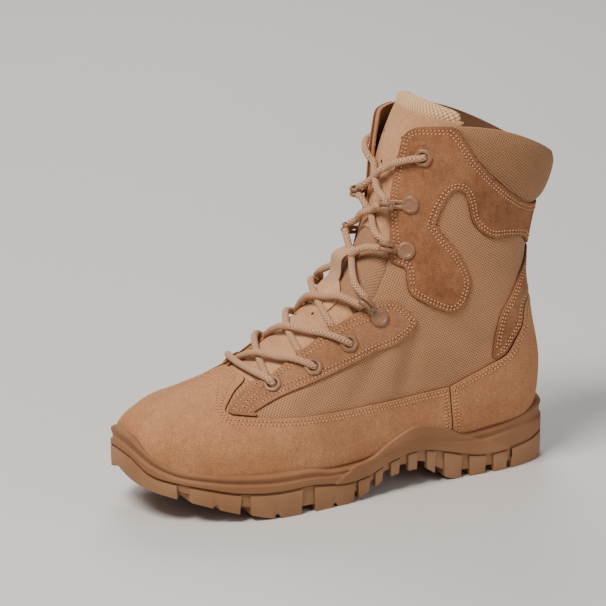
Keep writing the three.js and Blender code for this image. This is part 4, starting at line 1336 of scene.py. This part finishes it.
def pad_strip(rows, face, thickness, rounding, columns=41, steps=90, puff=0.0, bend=0.0):
    """A closed pad: rows of [share up the throat, width as a share of the throat's], its face's lift, its
    thickness and its edge's radius. Also returns the strip's flat map in millimetres.
    """
    rows = np.asarray(rows, float)
    # The rows stand closer at both ends, where the edge is rounded
    spans = np.sin(np.pi * (np.arange(steps - 1) + 0.5) / (steps - 1)) ** 0.35
    eased = np.concatenate([[0], np.cumsum(spans)]) / spans.sum()
    up = rows[0, 0] + (rows[-1, 0] - rows[0, 0]) * eased
    row_curve = curve(rows)
    width = np.interp(up, row_curve[:, 0], row_curve[:, 1]) * throat_half
    s = np.sin(np.linspace(-1, 1, columns) * math.pi / 2)
    t = np.interp(up[:, None] + bend * s[None, :] ** 2, front_up, front_t)
    across = s[None, :] * width[:, None]
    a = angle_at(t, across)
    from_side = width[:, None] * (1 - np.abs(s[None, :]))
    from_end = (up - up[0])[:, None] * throat_length, (up[-1] - up)[:, None] * throat_length
    inside = np.minimum(from_side, np.minimum(*from_end))
    f = np.clip(inside / rounding, 0, 1)
    cap = np.sqrt(1 - (1 - f) ** 2)
    swell = puff * (1 - np.exp(-inside / 5))
    middle = face - thickness / 2
    outer = tongue_skin(t, a, middle + cap * thickness / 2 + swell)
    inner = tongue_skin(t, a, middle - cap * thickness / 2)
    points, index, back = two_sided(outer, inner)
    faces = np.vstack([quads_of(index), quads_of(back)[:, ::-1]])
    flat = np.stack([across, up[:, None] * throat_length + 0 * across], -1).reshape(-1, 2)
    return points, faces, np.concatenate([flat, flat])


print("the front line runs over", front_up[[0, -1]].round(2), "of the throat's length")

# %% [markdown]
# ## The tongue's pieces
#
# Six strips make the tongue: the knitted base, two suede covers, the padded roll at the top, the tab and
# the keeper. Each is a short table of its width on the way up. Woven ones get their strip's flat map.

# %% Tongue, its covers, roll, tab and keeper
base_strip = pad_strip(
    [[-0.12, 0.86], [0.10, 1.12], [0.45, 1.25], [0.70, 1.16], [0.90, 1.28], [1.03, 1.40]],
    -3.6, 4.2, 2.0, bend=-0.03)
tongue = make_piece("tongue_base", *base_strip[:2], [mesh_cloth], "tongue_suede", ["tongue"], base_strip[2])
# Both covers take the paler tongue suede, which holds painted highlight.
lower_strip = pad_strip([[-0.10, 0.84], [0.10, 1.10], [0.30, 1.16], [0.43, 1.14]], -2.7, 1.4, 0.7, puff=0.2)
make_piece("tongue_lower_cover", *lower_strip[:2], [tongue_paint_and_highlight], "tongue_suede", ["tongue"])
upper_strip = pad_strip([[0.655, 1.10], [0.80, 1.16], [0.90, 1.28], [1.040, 1.42]], -2.4, 1.6, 0.8,
                        puff=0.3, bend=-0.035)
make_piece("tongue_upper_cover", *upper_strip[:2], [tongue_paint_and_highlight], "tongue_suede", ["tongue"])
roll_strip = pad_strip([[1.030, 1.34], [1.045, 1.37], [1.060, 1.30], [1.078, 1.05]], -1.8, 7.0, 3.6,
                       steps=40, bend=-0.035)
roll = make_piece("tongue_roll_knit", *roll_strip[:2], [knit_cloth], "knit", ["tongue_roll"], roll_strip[2])
tab_strip = pad_strip([[0.330, 0.50], [0.350, 0.58], [0.385, 0.60], [0.425, 0.50], [0.452, 0.22]],
                      -0.9, 1.7, 0.8, columns=31, steps=50)
make_piece("tongue_tab_suede", *tab_strip[:2], [tab_paint], "tongue_suede", ["tongue_tab"])


def keeper_band(start, end, width, hump):
    """A flat band sewn down at both ends, with a hump in its middle that the lace runs under."""
    points, faces, flat = pad_strip([[start, width], [0.49, width], [end, width]], -0.9, 1.5, 0.7,
                                    columns=17, steps=60)
    share = np.clip((flat[:, 1] / throat_length - start) / (end - start), 0, 1)
    rise = hump * np.exp(-((share - 0.66) / 0.27) ** 2)
    return points + rise[:, None] * np.array([throat_out[0], 0, throat_out[1]]), faces, flat


points, faces, flat = keeper_band(0.415, 0.575, 0.26, 7.6)
make_piece("lace_keeper_band", points, faces, [band_cloth], "webbing", ["lace_keeper"], flat)

# %% [markdown]
# ## The footbed
#
# A look into the boot shows the footbed: a foam sheet that follows the last's bottom and turns up a
# little at its edge. It's a grid over the sole's outline, pulled in by the upper's wall.

# %% Footbed
def footbed_sheet():
    """Rows across the boot: widths shrink from the outline, and the edge rises with the fourth power."""
    at = np.linspace(0.045, 0.955, 120)
    edges = (stretch_of(side, 0, 1, 300) for side in (-1, 1))
    outer, inner = (np.interp(at, edge[:, 2], edge[:, 1]) for edge in edges)
    middle, reach = (outer + inner) / 2, (inner - outer) / 2 - 9
    reach = reach * np.sqrt(np.clip(1 - ((at - 0.5) / 0.462) ** 12, 0, 1))
    s = np.linspace(-1, 1, 41)
    x = (half_length - at * sole_length)[:, None] + 0 * s
    y = middle[:, None] + reach[:, None] * s
    z = footbed(at)[:, None] + 5.5 + 2.2 * s**4
    top = np.stack([x, y, z], -1)
    points, index, back = two_sided(top, top - [0, 0, 1.5])
    return points, np.vstack([quads_of(index)[:, [1, 2, 3, 0]], quads_of(back)[:, [0, 3, 2, 1]]])


points, faces = footbed_sheet()
footbed_piece = make_piece("footbed_foam", points, faces, [foam], "insole_foam", ["insole"])

# %% [markdown]
# ## Eyelets
#
# An eyelet is stamped from sheet metal: a flange with six soft corners that rolls down into a barrel.
# One profile of radius and height is turned round an axis, and the flange's radius swells six times on
# the way round. Every eyelet stands square to the leather at its own place.

# %% Eyelets
def frame_at(t, a):
    """Place and three directions on the leather: across, along (as upright as it can be) and out."""
    out = last_normal(t, a)
    along = unit(np.array([0.0, 0.0, 1.0]) - out * out[..., 2:3])
    return skin(t, a, np.array(panel_thickness)), np.cross(along, out), along, out


def spokes(angle, first, second):
    """Rings of directions: the first's share is the angle's cosine, the second's is its sine."""
    return np.cos(angle)[:, None] * first[..., None, :] + np.sin(angle)[:, None] * second[..., None, :]


def set_in(shape, place, across, along, out):
    """A small shape's points carried to a place on the boot."""
    return place + shape[:, :1] * across + shape[:, 1:2] * along + shape[:, 2:] * out


def turned(profile, count, corners=0.0):
    """A profile of [radius, height] turned round; far radii swell six times by a share."""
    profile = np.asarray(profile, float)
    angle = np.linspace(0, full_turn, count, endpoint=False)
    swell = 1 + corners * np.cos(6 * angle)[None, :] * smooth(profile[:, :1], 4.4, 5.6)
    radius = profile[:, :1] * swell
    points = np.stack([radius * np.cos(angle), radius * np.sin(angle), profile[:, 1:] + 0 * radius], -1)
    return points.reshape(-1, 3)


eyelet_profile = [
    [3.0, -4.4], [3.0, -1.0], [3.05, 0.2], [3.3, 0.85], [3.8, 1.2], [4.4, 1.25], [5.2, 1.05], [5.75, 0.75],
    [5.95, 0.4], [5.9, 0.05], [5.4, -0.2], [4.0, -0.3], [3.9, -4.4],
]
sides = (("lateral", 1), ("medial", -1))
eyelet_shape = turned(eyelet_profile, 36, 0.035)
eyelet_faces = ring_faces(len(eyelet_profile), 36, closed_rows=True)
for word, sign in sides:
    for number, (t, a) in enumerate(zip(eyelet_t, eyelet_a), 1):
        placed = set_in(eyelet_shape, *frame_at(np.array(t), np.array(sign * a)))
        make_piece(f"eyelet_ring_{word}_{number}", placed, eyelet_faces, [painted], "painted_metal",
                   [f"eyelet_{word}_{number}"])

# %% [markdown]
# ## Speed hooks
#
# A hook is a riveted disc with two rails that run to the throat's edge, rise and fold back. The lace
# lies in the fold. The disc is turned like the eyelet, with a plain raised ring on its face. Each rail
# is a flattened rod carried along a path.

# %% Hooks
def rod(path, wide, high, sides=10):
    """An oval rod along a path in the x-z plane, tapering shut at both ends."""
    path = np.asarray(path, float)
    side = np.array([0.0, 1.0, 0.0])
    up = np.cross(unit(np.gradient(path, axis=0)), side)
    shut = np.ones(len(path))
    shut[[0, -1]] = 0.05
    shut[[1, -2]] = 0.8
    ring = spokes(np.linspace(0, full_turn, sides, endpoint=False), side * wide / 2, up * high / 2)
    return (path[:, None] + ring * shut[:, None, None]).reshape(-1, 3), ring_faces(len(path), sides)


disc_profile = [
    [0.02, 1.25], [3.0, 1.25], [3.5, 1.3], [3.75, 1.62], [4.15, 1.7], [4.5, 1.5], [5.2, 1.42], [5.75, 1.15],
    [6.0, 0.6], [6.0, -0.9], [0.02, -0.9],
]
disc = turned(disc_profile, 48), ring_faces(len(disc_profile), 48)


def hook_shape(reach):
    """Disc and two rails: out along the leather, up round the lace in a half circle, back and down."""
    turn = np.linspace(-math.pi / 2, math.pi / 2, 11)
    bend, low, rail_side = 3.1, 0.9, 1.7
    arc = np.stack([reach - 2.2 + bend * np.cos(turn), 0 * turn, low + bend + bend * np.sin(turn)], 1)
    start = np.array([[2.0, 0, low], [4.5, 0, low], [(reach + 2) / 2, 0, low]])
    end = arc[-1] + np.array([[-2.2, 0, -0.2], [-4.6, 0, -1.3], [-6.6, 0, -2.9]])
    path = curve(np.vstack([start, arc[::2], end]), 4)
    rail, rail_faces = rod(path, 2.7, 1.5)
    rails = [(rail + [0, side, 0], rail_faces) for side in (-rail_side, rail_side)]
    bar, bar_faces = rod([[-2.6, 0, 0], [-1.5, 0, 0], [0, 0, 0], [1.5, 0, 0], [2.6, 0, 0]], 1.9, 1.5)
    bridge = bar[:, [1, 0, 2]] * [1, -1, 1] + path[-1]
    root = rod([[3.6, 0, 0.55], [4.6, 0, 0.55], [6.4, 0, 0.6], [9.0, 0, 0.7]], 6.2, 1.6)
    return merged([disc, *rails, (bridge, bar_faces), root])


for word, sign in sides:
    for number, (t, a, far_t, far_a) in enumerate(zip(hook_t, hook_a, tip_t, tip_a), 1):
        place, _, _, out = frame_at(np.array(t), np.array(sign * a))
        tip = frame_at(np.array(far_t), np.array(sign * far_a))[0] - place
        towards = unit(tip - out * (tip @ out))
        points, faces = hook_shape(float(tip @ towards))
        placed = set_in(points, place, towards, np.cross(out, towards), out)
        make_piece(f"hook_rail_{word}_{number}", placed, faces, [painted], "painted_metal",
                   [f"hook_{word}_{number}"])

# %% [markdown]
# ## Stitches
#
# Two rows of thick thread run along every seam. On the real boot each stitch is a short arch of thread
# that sinks into the leather at both ends. A seam is a line of equal distance from the panel's edge, so the
# function that cuts the panel also finds its seams. The rim's edges are chained, their lengths are summed
# along the chain, and wherever the sum passes another multiple of the pitch a stitch begins. A small bead
# in painted shade between two stitches stands for the hole that the needle left.

# %% Stitches
stitch_pitch = 2.5
stitch_length = 1.75
stitch_radius = 0.42
seam_levels = (2.2, 4.3)
seam_step = 2.2


def run_lengths(edges, points):
    """Length from each rim point to its chain's end, by doubling: each pass looks twice as far ahead."""
    own = np.arange(len(points))
    following = own.copy()
    following[edges[:, 0]] = edges[:, 1]
    least, hop = own.copy(), following.copy()
    for _ in range(15):
        least = np.minimum(least, least[hop])
        hop = hop[hop]
    closed = following[hop] != hop
    following = np.where(closed & (following == least), own, following)
    length = np.linalg.norm(points[following] - points, axis=1)
    hop = following.copy()
    for _ in range(15):
        length = length + length[hop]
        hop = hop[hop]
    return length


def seam_stitches(sections, angles, value, level):
    """Stitch centres and directions where a seam's running length passes whole multiples of the pitch."""
    cells = grid(section_ladder(*sections, seam_step), angle_ladder(*angles, seam_step))
    place, _, rim = cut(*cells, value, level)
    number, edges = np.unique(rim, return_inverse=True)
    edges = edges.reshape(-1, 2)
    place = place[number]
    points = last_point(*place.T)
    length = run_lengths(edges, points)
    p, q = edges.T
    step = np.linalg.norm(points[p] - points[q], axis=1)
    linked = np.abs(length[p] - length[q] - step) < 0.01
    passed = linked & (np.floor(length[p] / stitch_pitch) != np.floor(length[q] / stitch_pitch))
    p, q, step = p[passed], q[passed], step[passed]
    goal = np.floor(length[p] / stitch_pitch) * stitch_pitch
    share = np.clip((length[p] - goal) / np.maximum(step, 1e-6), 0, 1)
    place = place[p] + (place[q] - place[p]) * share[:, None]
    place = place[above_sole(last_point(*place.T)) > 0.5]
    normal = skin_normal(*place.T)
    centre = skin(*place.T, np.full(len(place), flat_lift(level)))
    return centre, unit(np.cross(normal, outwards(value, place))), normal


def repeated(faces, count, points_each):
    """The faces of many equal small meshes, each counted on from the one before."""
    return (faces[None] + (np.arange(count) * points_each)[:, None, None]).reshape(-1, faces.shape[1])


def stitch_meshes(centre, along, normal):
    """Every stitch as a thin arch: rings along its length, sunk at both ends."""
    s = np.array([-1, -0.75, -0.25, 0.25, 0.75, 1])
    body = np.array([0.15, 0.85, 1.0, 1.0, 0.85, 0.15])
    angle = np.linspace(0, full_turn, 6, endpoint=False)
    spine = (centre[:, None] + along[:, None] * (s * stitch_length / 2)[None, :, None]
             + normal[:, None] * (0.30 * (1 - s**2) - 0.12)[None, :, None])
    wide = spokes(angle, np.cross(along, normal), normal)
    points = spine[:, :, None] + wide[:, None] * (stitch_radius * body)[None, :, None, None]
    faces = ring_faces(len(s), len(angle))
    return points.reshape(-1, 3), repeated(faces, len(centre), len(s) * len(angle))


def hole_meshes(centre, along, normal, size=1.0):
    """Needle holes: small beads in painted shade, pressed nearly flat, between one stitch and the next."""
    angle = np.linspace(0, full_turn, 8, endpoint=False)
    radius, height = np.array([0.50, 0.34, 0.02]) * size, np.array([-0.10, 0.06, 0.10])
    wide = spokes(angle, along, np.cross(along, normal))
    points = centre[:, None, None] + wide[:, None] * radius[None, :, None, None] + (
        normal[:, None, None] * height[None, :, None, None])
    faces = ring_faces(len(radius), len(angle))[:, ::-1]
    return points.reshape(-1, 3), repeated(faces, len(centre), len(radius) * len(angle))


for name, (_, polygon, bounds, sections, angles) in panels.items():
    value = side_value(polygon, **{**bounds, "holes": False, "sole": False})
    rows = [seam_stitches(sections, angles, value, level) for level in seam_levels]
    centre, along, normal = (np.concatenate(parts) for parts in zip(*rows))
    points, faces = stitch_meshes(centre, along, normal)
    holes, hole_faces = hole_meshes(centre + along * stitch_pitch / 2, along, normal)
    which = np.concatenate([np.zeros(len(faces)), np.ones(len(hole_faces))])
    make_piece(f"{name}_stitches", *merged([(points, faces), (holes, hole_faces)]),
               [thread, shadow], "thread", which=which)

# %% [markdown]
# ## The lace
#
# The lace is one round braided cord. It lies over the foot of the tongue as a bar and goes down through the
# first pair of eyelets. Each half then comes out under the throat's edge, crosses the tongue and goes down
# through the next eyelet on the other side. Above the third pair it runs round the hooks instead, and it
# ends inside the boot behind the top eyelets. Strands that head for the outer side lie on top. One of them
# passes through the keeper.
#
# A free cord could be let fall by a physics tool. This one is tight, so its way is listed: points
# with a height up the throat, a distance across it and a lift over the last. A smooth curve joins them.

# %% The lace's way
lace_radius = 2.3
hole_lift, over_lift, pocket_lift = -1.5, 4.3, 5.8


def front_place(up, across):
    """Section and angle of a place up and across the throat: the section is corrected until both fit."""
    t = np.interp(up, front_up, front_t)
    for _ in range(12):
        seen = throat_view(last_point(t, angle_at(t, across)))[..., 1] / throat_length
        t = t + (up - seen) * 9
    return t, angle_at(t, across)


def seen_from_front(t, a):
    """Up the throat as a share, and across it in millimetres with the outer side positive."""
    points = last_point(t, a)
    middle = last_point(t, np.zeros(np.shape(t)))
    return throat_view(points)[..., 1] / throat_length, middle[..., 1] - points[..., 1]


pocket_share = 0.84
pocket_t = hook_t + (tip_t - hook_t) * pocket_share
pocket_a = hook_a + (tip_a - hook_a) * pocket_share
# For each side, the heights and distances of its eyelets and of its hooks' folds
stops_on = {
    side: [seen_from_front(eyelet_t, side * eyelet_a), seen_from_front(pocket_t, side * pocket_a)]
    for side in (1, -1)
}
print("eyelets up and across", [row.round(3) for row in stops_on[1][0]])
print("pockets up and across", [row.round(3) for row in stops_on[1][1]])


def edge_half(up):
    """Half the throat's width at a height."""
    return np.interp(up, throat_edge[:, 0] / throat_length, throat_edge[:, 1])


def crossing(start, end, from_hook, to_hook, lift, bow=0.0):
    """One strand from side to side: points [up, across, lift, how much it follows the surface]."""
    run = abs(end[1] - start[1])
    # Shares of the way at which the cord passes the throat's edges
    out = (abs(start[1]) - edge_half(start[0])) / run
    back = 1 - (abs(end[1]) - edge_half(end[0])) / run
    # It leaves an eyelet under the leather, and a hook at the height of its fold
    if from_hook:
        first = [[0.14, 4.6, 0.6], [0.28, 2.4, 0.2]]
    else:
        first = [[0.5 * out, -3.6, 0], [out, -3.0, 0], [out + 5 / run, -0.6, 0]]
    # It reaches a hook the same way, and an eyelet from above
    if to_hook:
        last = [[0.72, 2.6, 0.2], [0.86, 4.8, 0.6]]
    else:
        last = [[back - 7 / run, 2.2, 0], [back, over_lift, 0], [0.4 * back + 0.6, over_lift + 0.2, 0]]
    points = np.array(first + [[0.5, lift, 0]] + last)
    share = points[:, 0]
    up = start[0] + (end[0] - start[0]) * share + bow * np.sin(math.pi * share)
    across = start[1] + (end[1] - start[1]) * share
    return np.stack([up, across, points[:, 1], points[:, 2]], 1)


def knot(stop, hook):
    """The points inside an eyelet, or inside a hook's fold."""
    up, across = stop
    if hook:
        return np.array([[up - 0.013, across, pocket_lift, 1], [up + 0.013, across, pocket_lift, 1]])
    return np.array([[up, across, 2.3, 0], [up, across, hole_lift, 0]])


def half_lace(side):
    """From the bar's middle to the end behind the top eyelet, on the side where the bar goes down first."""
    # Kind (0 an eyelet, 1 a hook), its number, and whether it's on this half's own side or across from it
    order = [(0, 0, 1), (0, 1, -1), (0, 2, 1), (1, 0, -1), (1, 1, 1), (1, 2, -1), (0, 3, 1)]
    stops = [(*(row[number] for row in stops_on[side * turn][kind]), kind) for kind, number, turn in order]
    first_up, first_across = stops[0][:2]
    inner = edge_half(first_up) / abs(first_across)
    parts = [
        np.array([[first_up, 0, 1.2, 0], [first_up, first_across * (inner - 0.28), 2.4, 0],
                  [first_up, first_across * inner, over_lift, 0],
                  [first_up, first_across * (0.4 * inner + 0.6), over_lift + 0.2, 0]]),
        knot(stops[0][:2], False),
    ]
    for number, (start, end) in enumerate(zip(stops[:-1], stops[1:])):
        over = end[1] > 0
        lift, bow = (4.0, -0.004) if over else (0.0, 0.004)
        # The strands between the first and second hooks bend apart, over the keeper's hump
        if number == 3:
            lift, bow = (0.4, -0.022) if over else (0.2, 0.022)
        parts.append(crossing(start[:2], end[:2], start[2] == 1, end[2] == 1, lift, bow))
        parts.append(knot(end[:2], end[2] == 1))
    up, across = stops[-1][:2]
    parts.append(np.array([[up - 0.01, across, -6.5, 0]]))
    return np.concatenate(parts)


lace_knots = np.concatenate([half_lace(-1)[:0:-1], half_lace(1)])
lace_t, lace_a = front_place(lace_knots[:, 0], lace_knots[:, 1])
lace_points = last_point(lace_t, lace_a) + last_normal(lace_t, lace_a) * lace_knots[:, 2:3]
lace_way = curve(np.hstack([lace_points, last_normal(lace_t, lace_a), lace_knots[:, 3:]]), 14)
lace_run = np.concatenate([[0], np.cumsum(np.linalg.norm(np.diff(lace_way[:, :3], axis=0), axis=1))])
lace_steps = np.linspace(0, lace_run[-1], int(lace_run[-1] / 1.1))
lace_way = np.stack([np.interp(lace_steps, lace_run, column) for column in lace_way.T], 1)
print("the lace is", round(float(lace_run[-1])), "mm long")

# %% [markdown]
# ## Vent holes
#
# The tongue's covers are pierced so that the foot can breathe. The holes are drawn like the needle holes,
# only wider: flat beads in painted shade on the suede. Cutting them out would cost many small faces for
# the same look.

# %% Vent holes
# up the throat, across it in mm
lower_vents = np.array([[0.20, -5.0], [0.215, 4.0], [0.30, 7.0], [0.27, -11.0]])
upper_vents = np.array([[0.72, -5.0], [0.77, 7.0], [0.87, -2.0], [0.96, 12.0], [0.96, -16.0]])
vent_sheets = []
for vents, lift in ((lower_vents, -2.4), (upper_vents, -1.9)):
    t, a = front_place(*vents.T)
    normal = last_normal(t, a)
    across = unit(np.cross(normal, [throat_up[0], 0, throat_up[1]]))
    vent_sheets.append(hole_meshes(tongue_skin(t, a, np.full(len(t), lift)), across, normal, 2.4))
# The vent holes are beads in painted shade, standing for the shade inside each hole.
make_piece("vent_holes_painted_shade", *merged(vent_sheets), [shadow], "tongue_suede")

# %% [markdown]
# ## The lace's cord
#
# The cord is a tube along the way, with its ends drawn shut. A tube needs a direction to start each ring
# from, and one that turns by chance would twist the braid. So a guide goes along: up the throat between
# the flaps, and out of the leather at the hooks. The braid is the woven cloth again, mapped by the length
# along the cord and the distance round it.

# %% Lace
def cord_tube(way, length, radius, sides):
    """Rings round the way. Each starts in the direction square to the way and to a slowly turning guide."""
    middle = way[:, :3]
    guide = np.array([throat_up[0], 0, throat_up[1]]) * (1 - way[:, 6:]) + unit(way[:, 3:6]) * way[:, 6:]
    run = unit(np.gradient(middle, axis=0))
    side = unit(np.cross(run, guide))
    top = np.cross(side, run)
    angle = np.linspace(0, full_turn, sides + 1)
    shut = np.ones(len(middle))
    shut[[0, -1]] = 0.05
    points = middle[:, None] + spokes(angle, side, top) * (radius * shut)[:, None, None]
    flat = np.stack(np.broadcast_arrays(length[:, None], angle[None, :] * radius), -1)
    faces = ring_faces(len(middle), sides + 1, closed_columns=False)
    return points.reshape(-1, 3), faces, flat.reshape(-1, 2)


# The lace's first colour is likewise the painted shade between the braid's threads.
lace_cloth = woven("lace_cord", linear(84, 54, 36), linear(206, 158, 122), 0.0016, 36, 1.2, 0.0010)
points, faces, lace_map = cord_tube(lace_way, lace_steps, lace_radius, 14)
make_piece("lace_cord_run", points, faces, [lace_cloth], "lace_cord", ["laces"], lace_map)
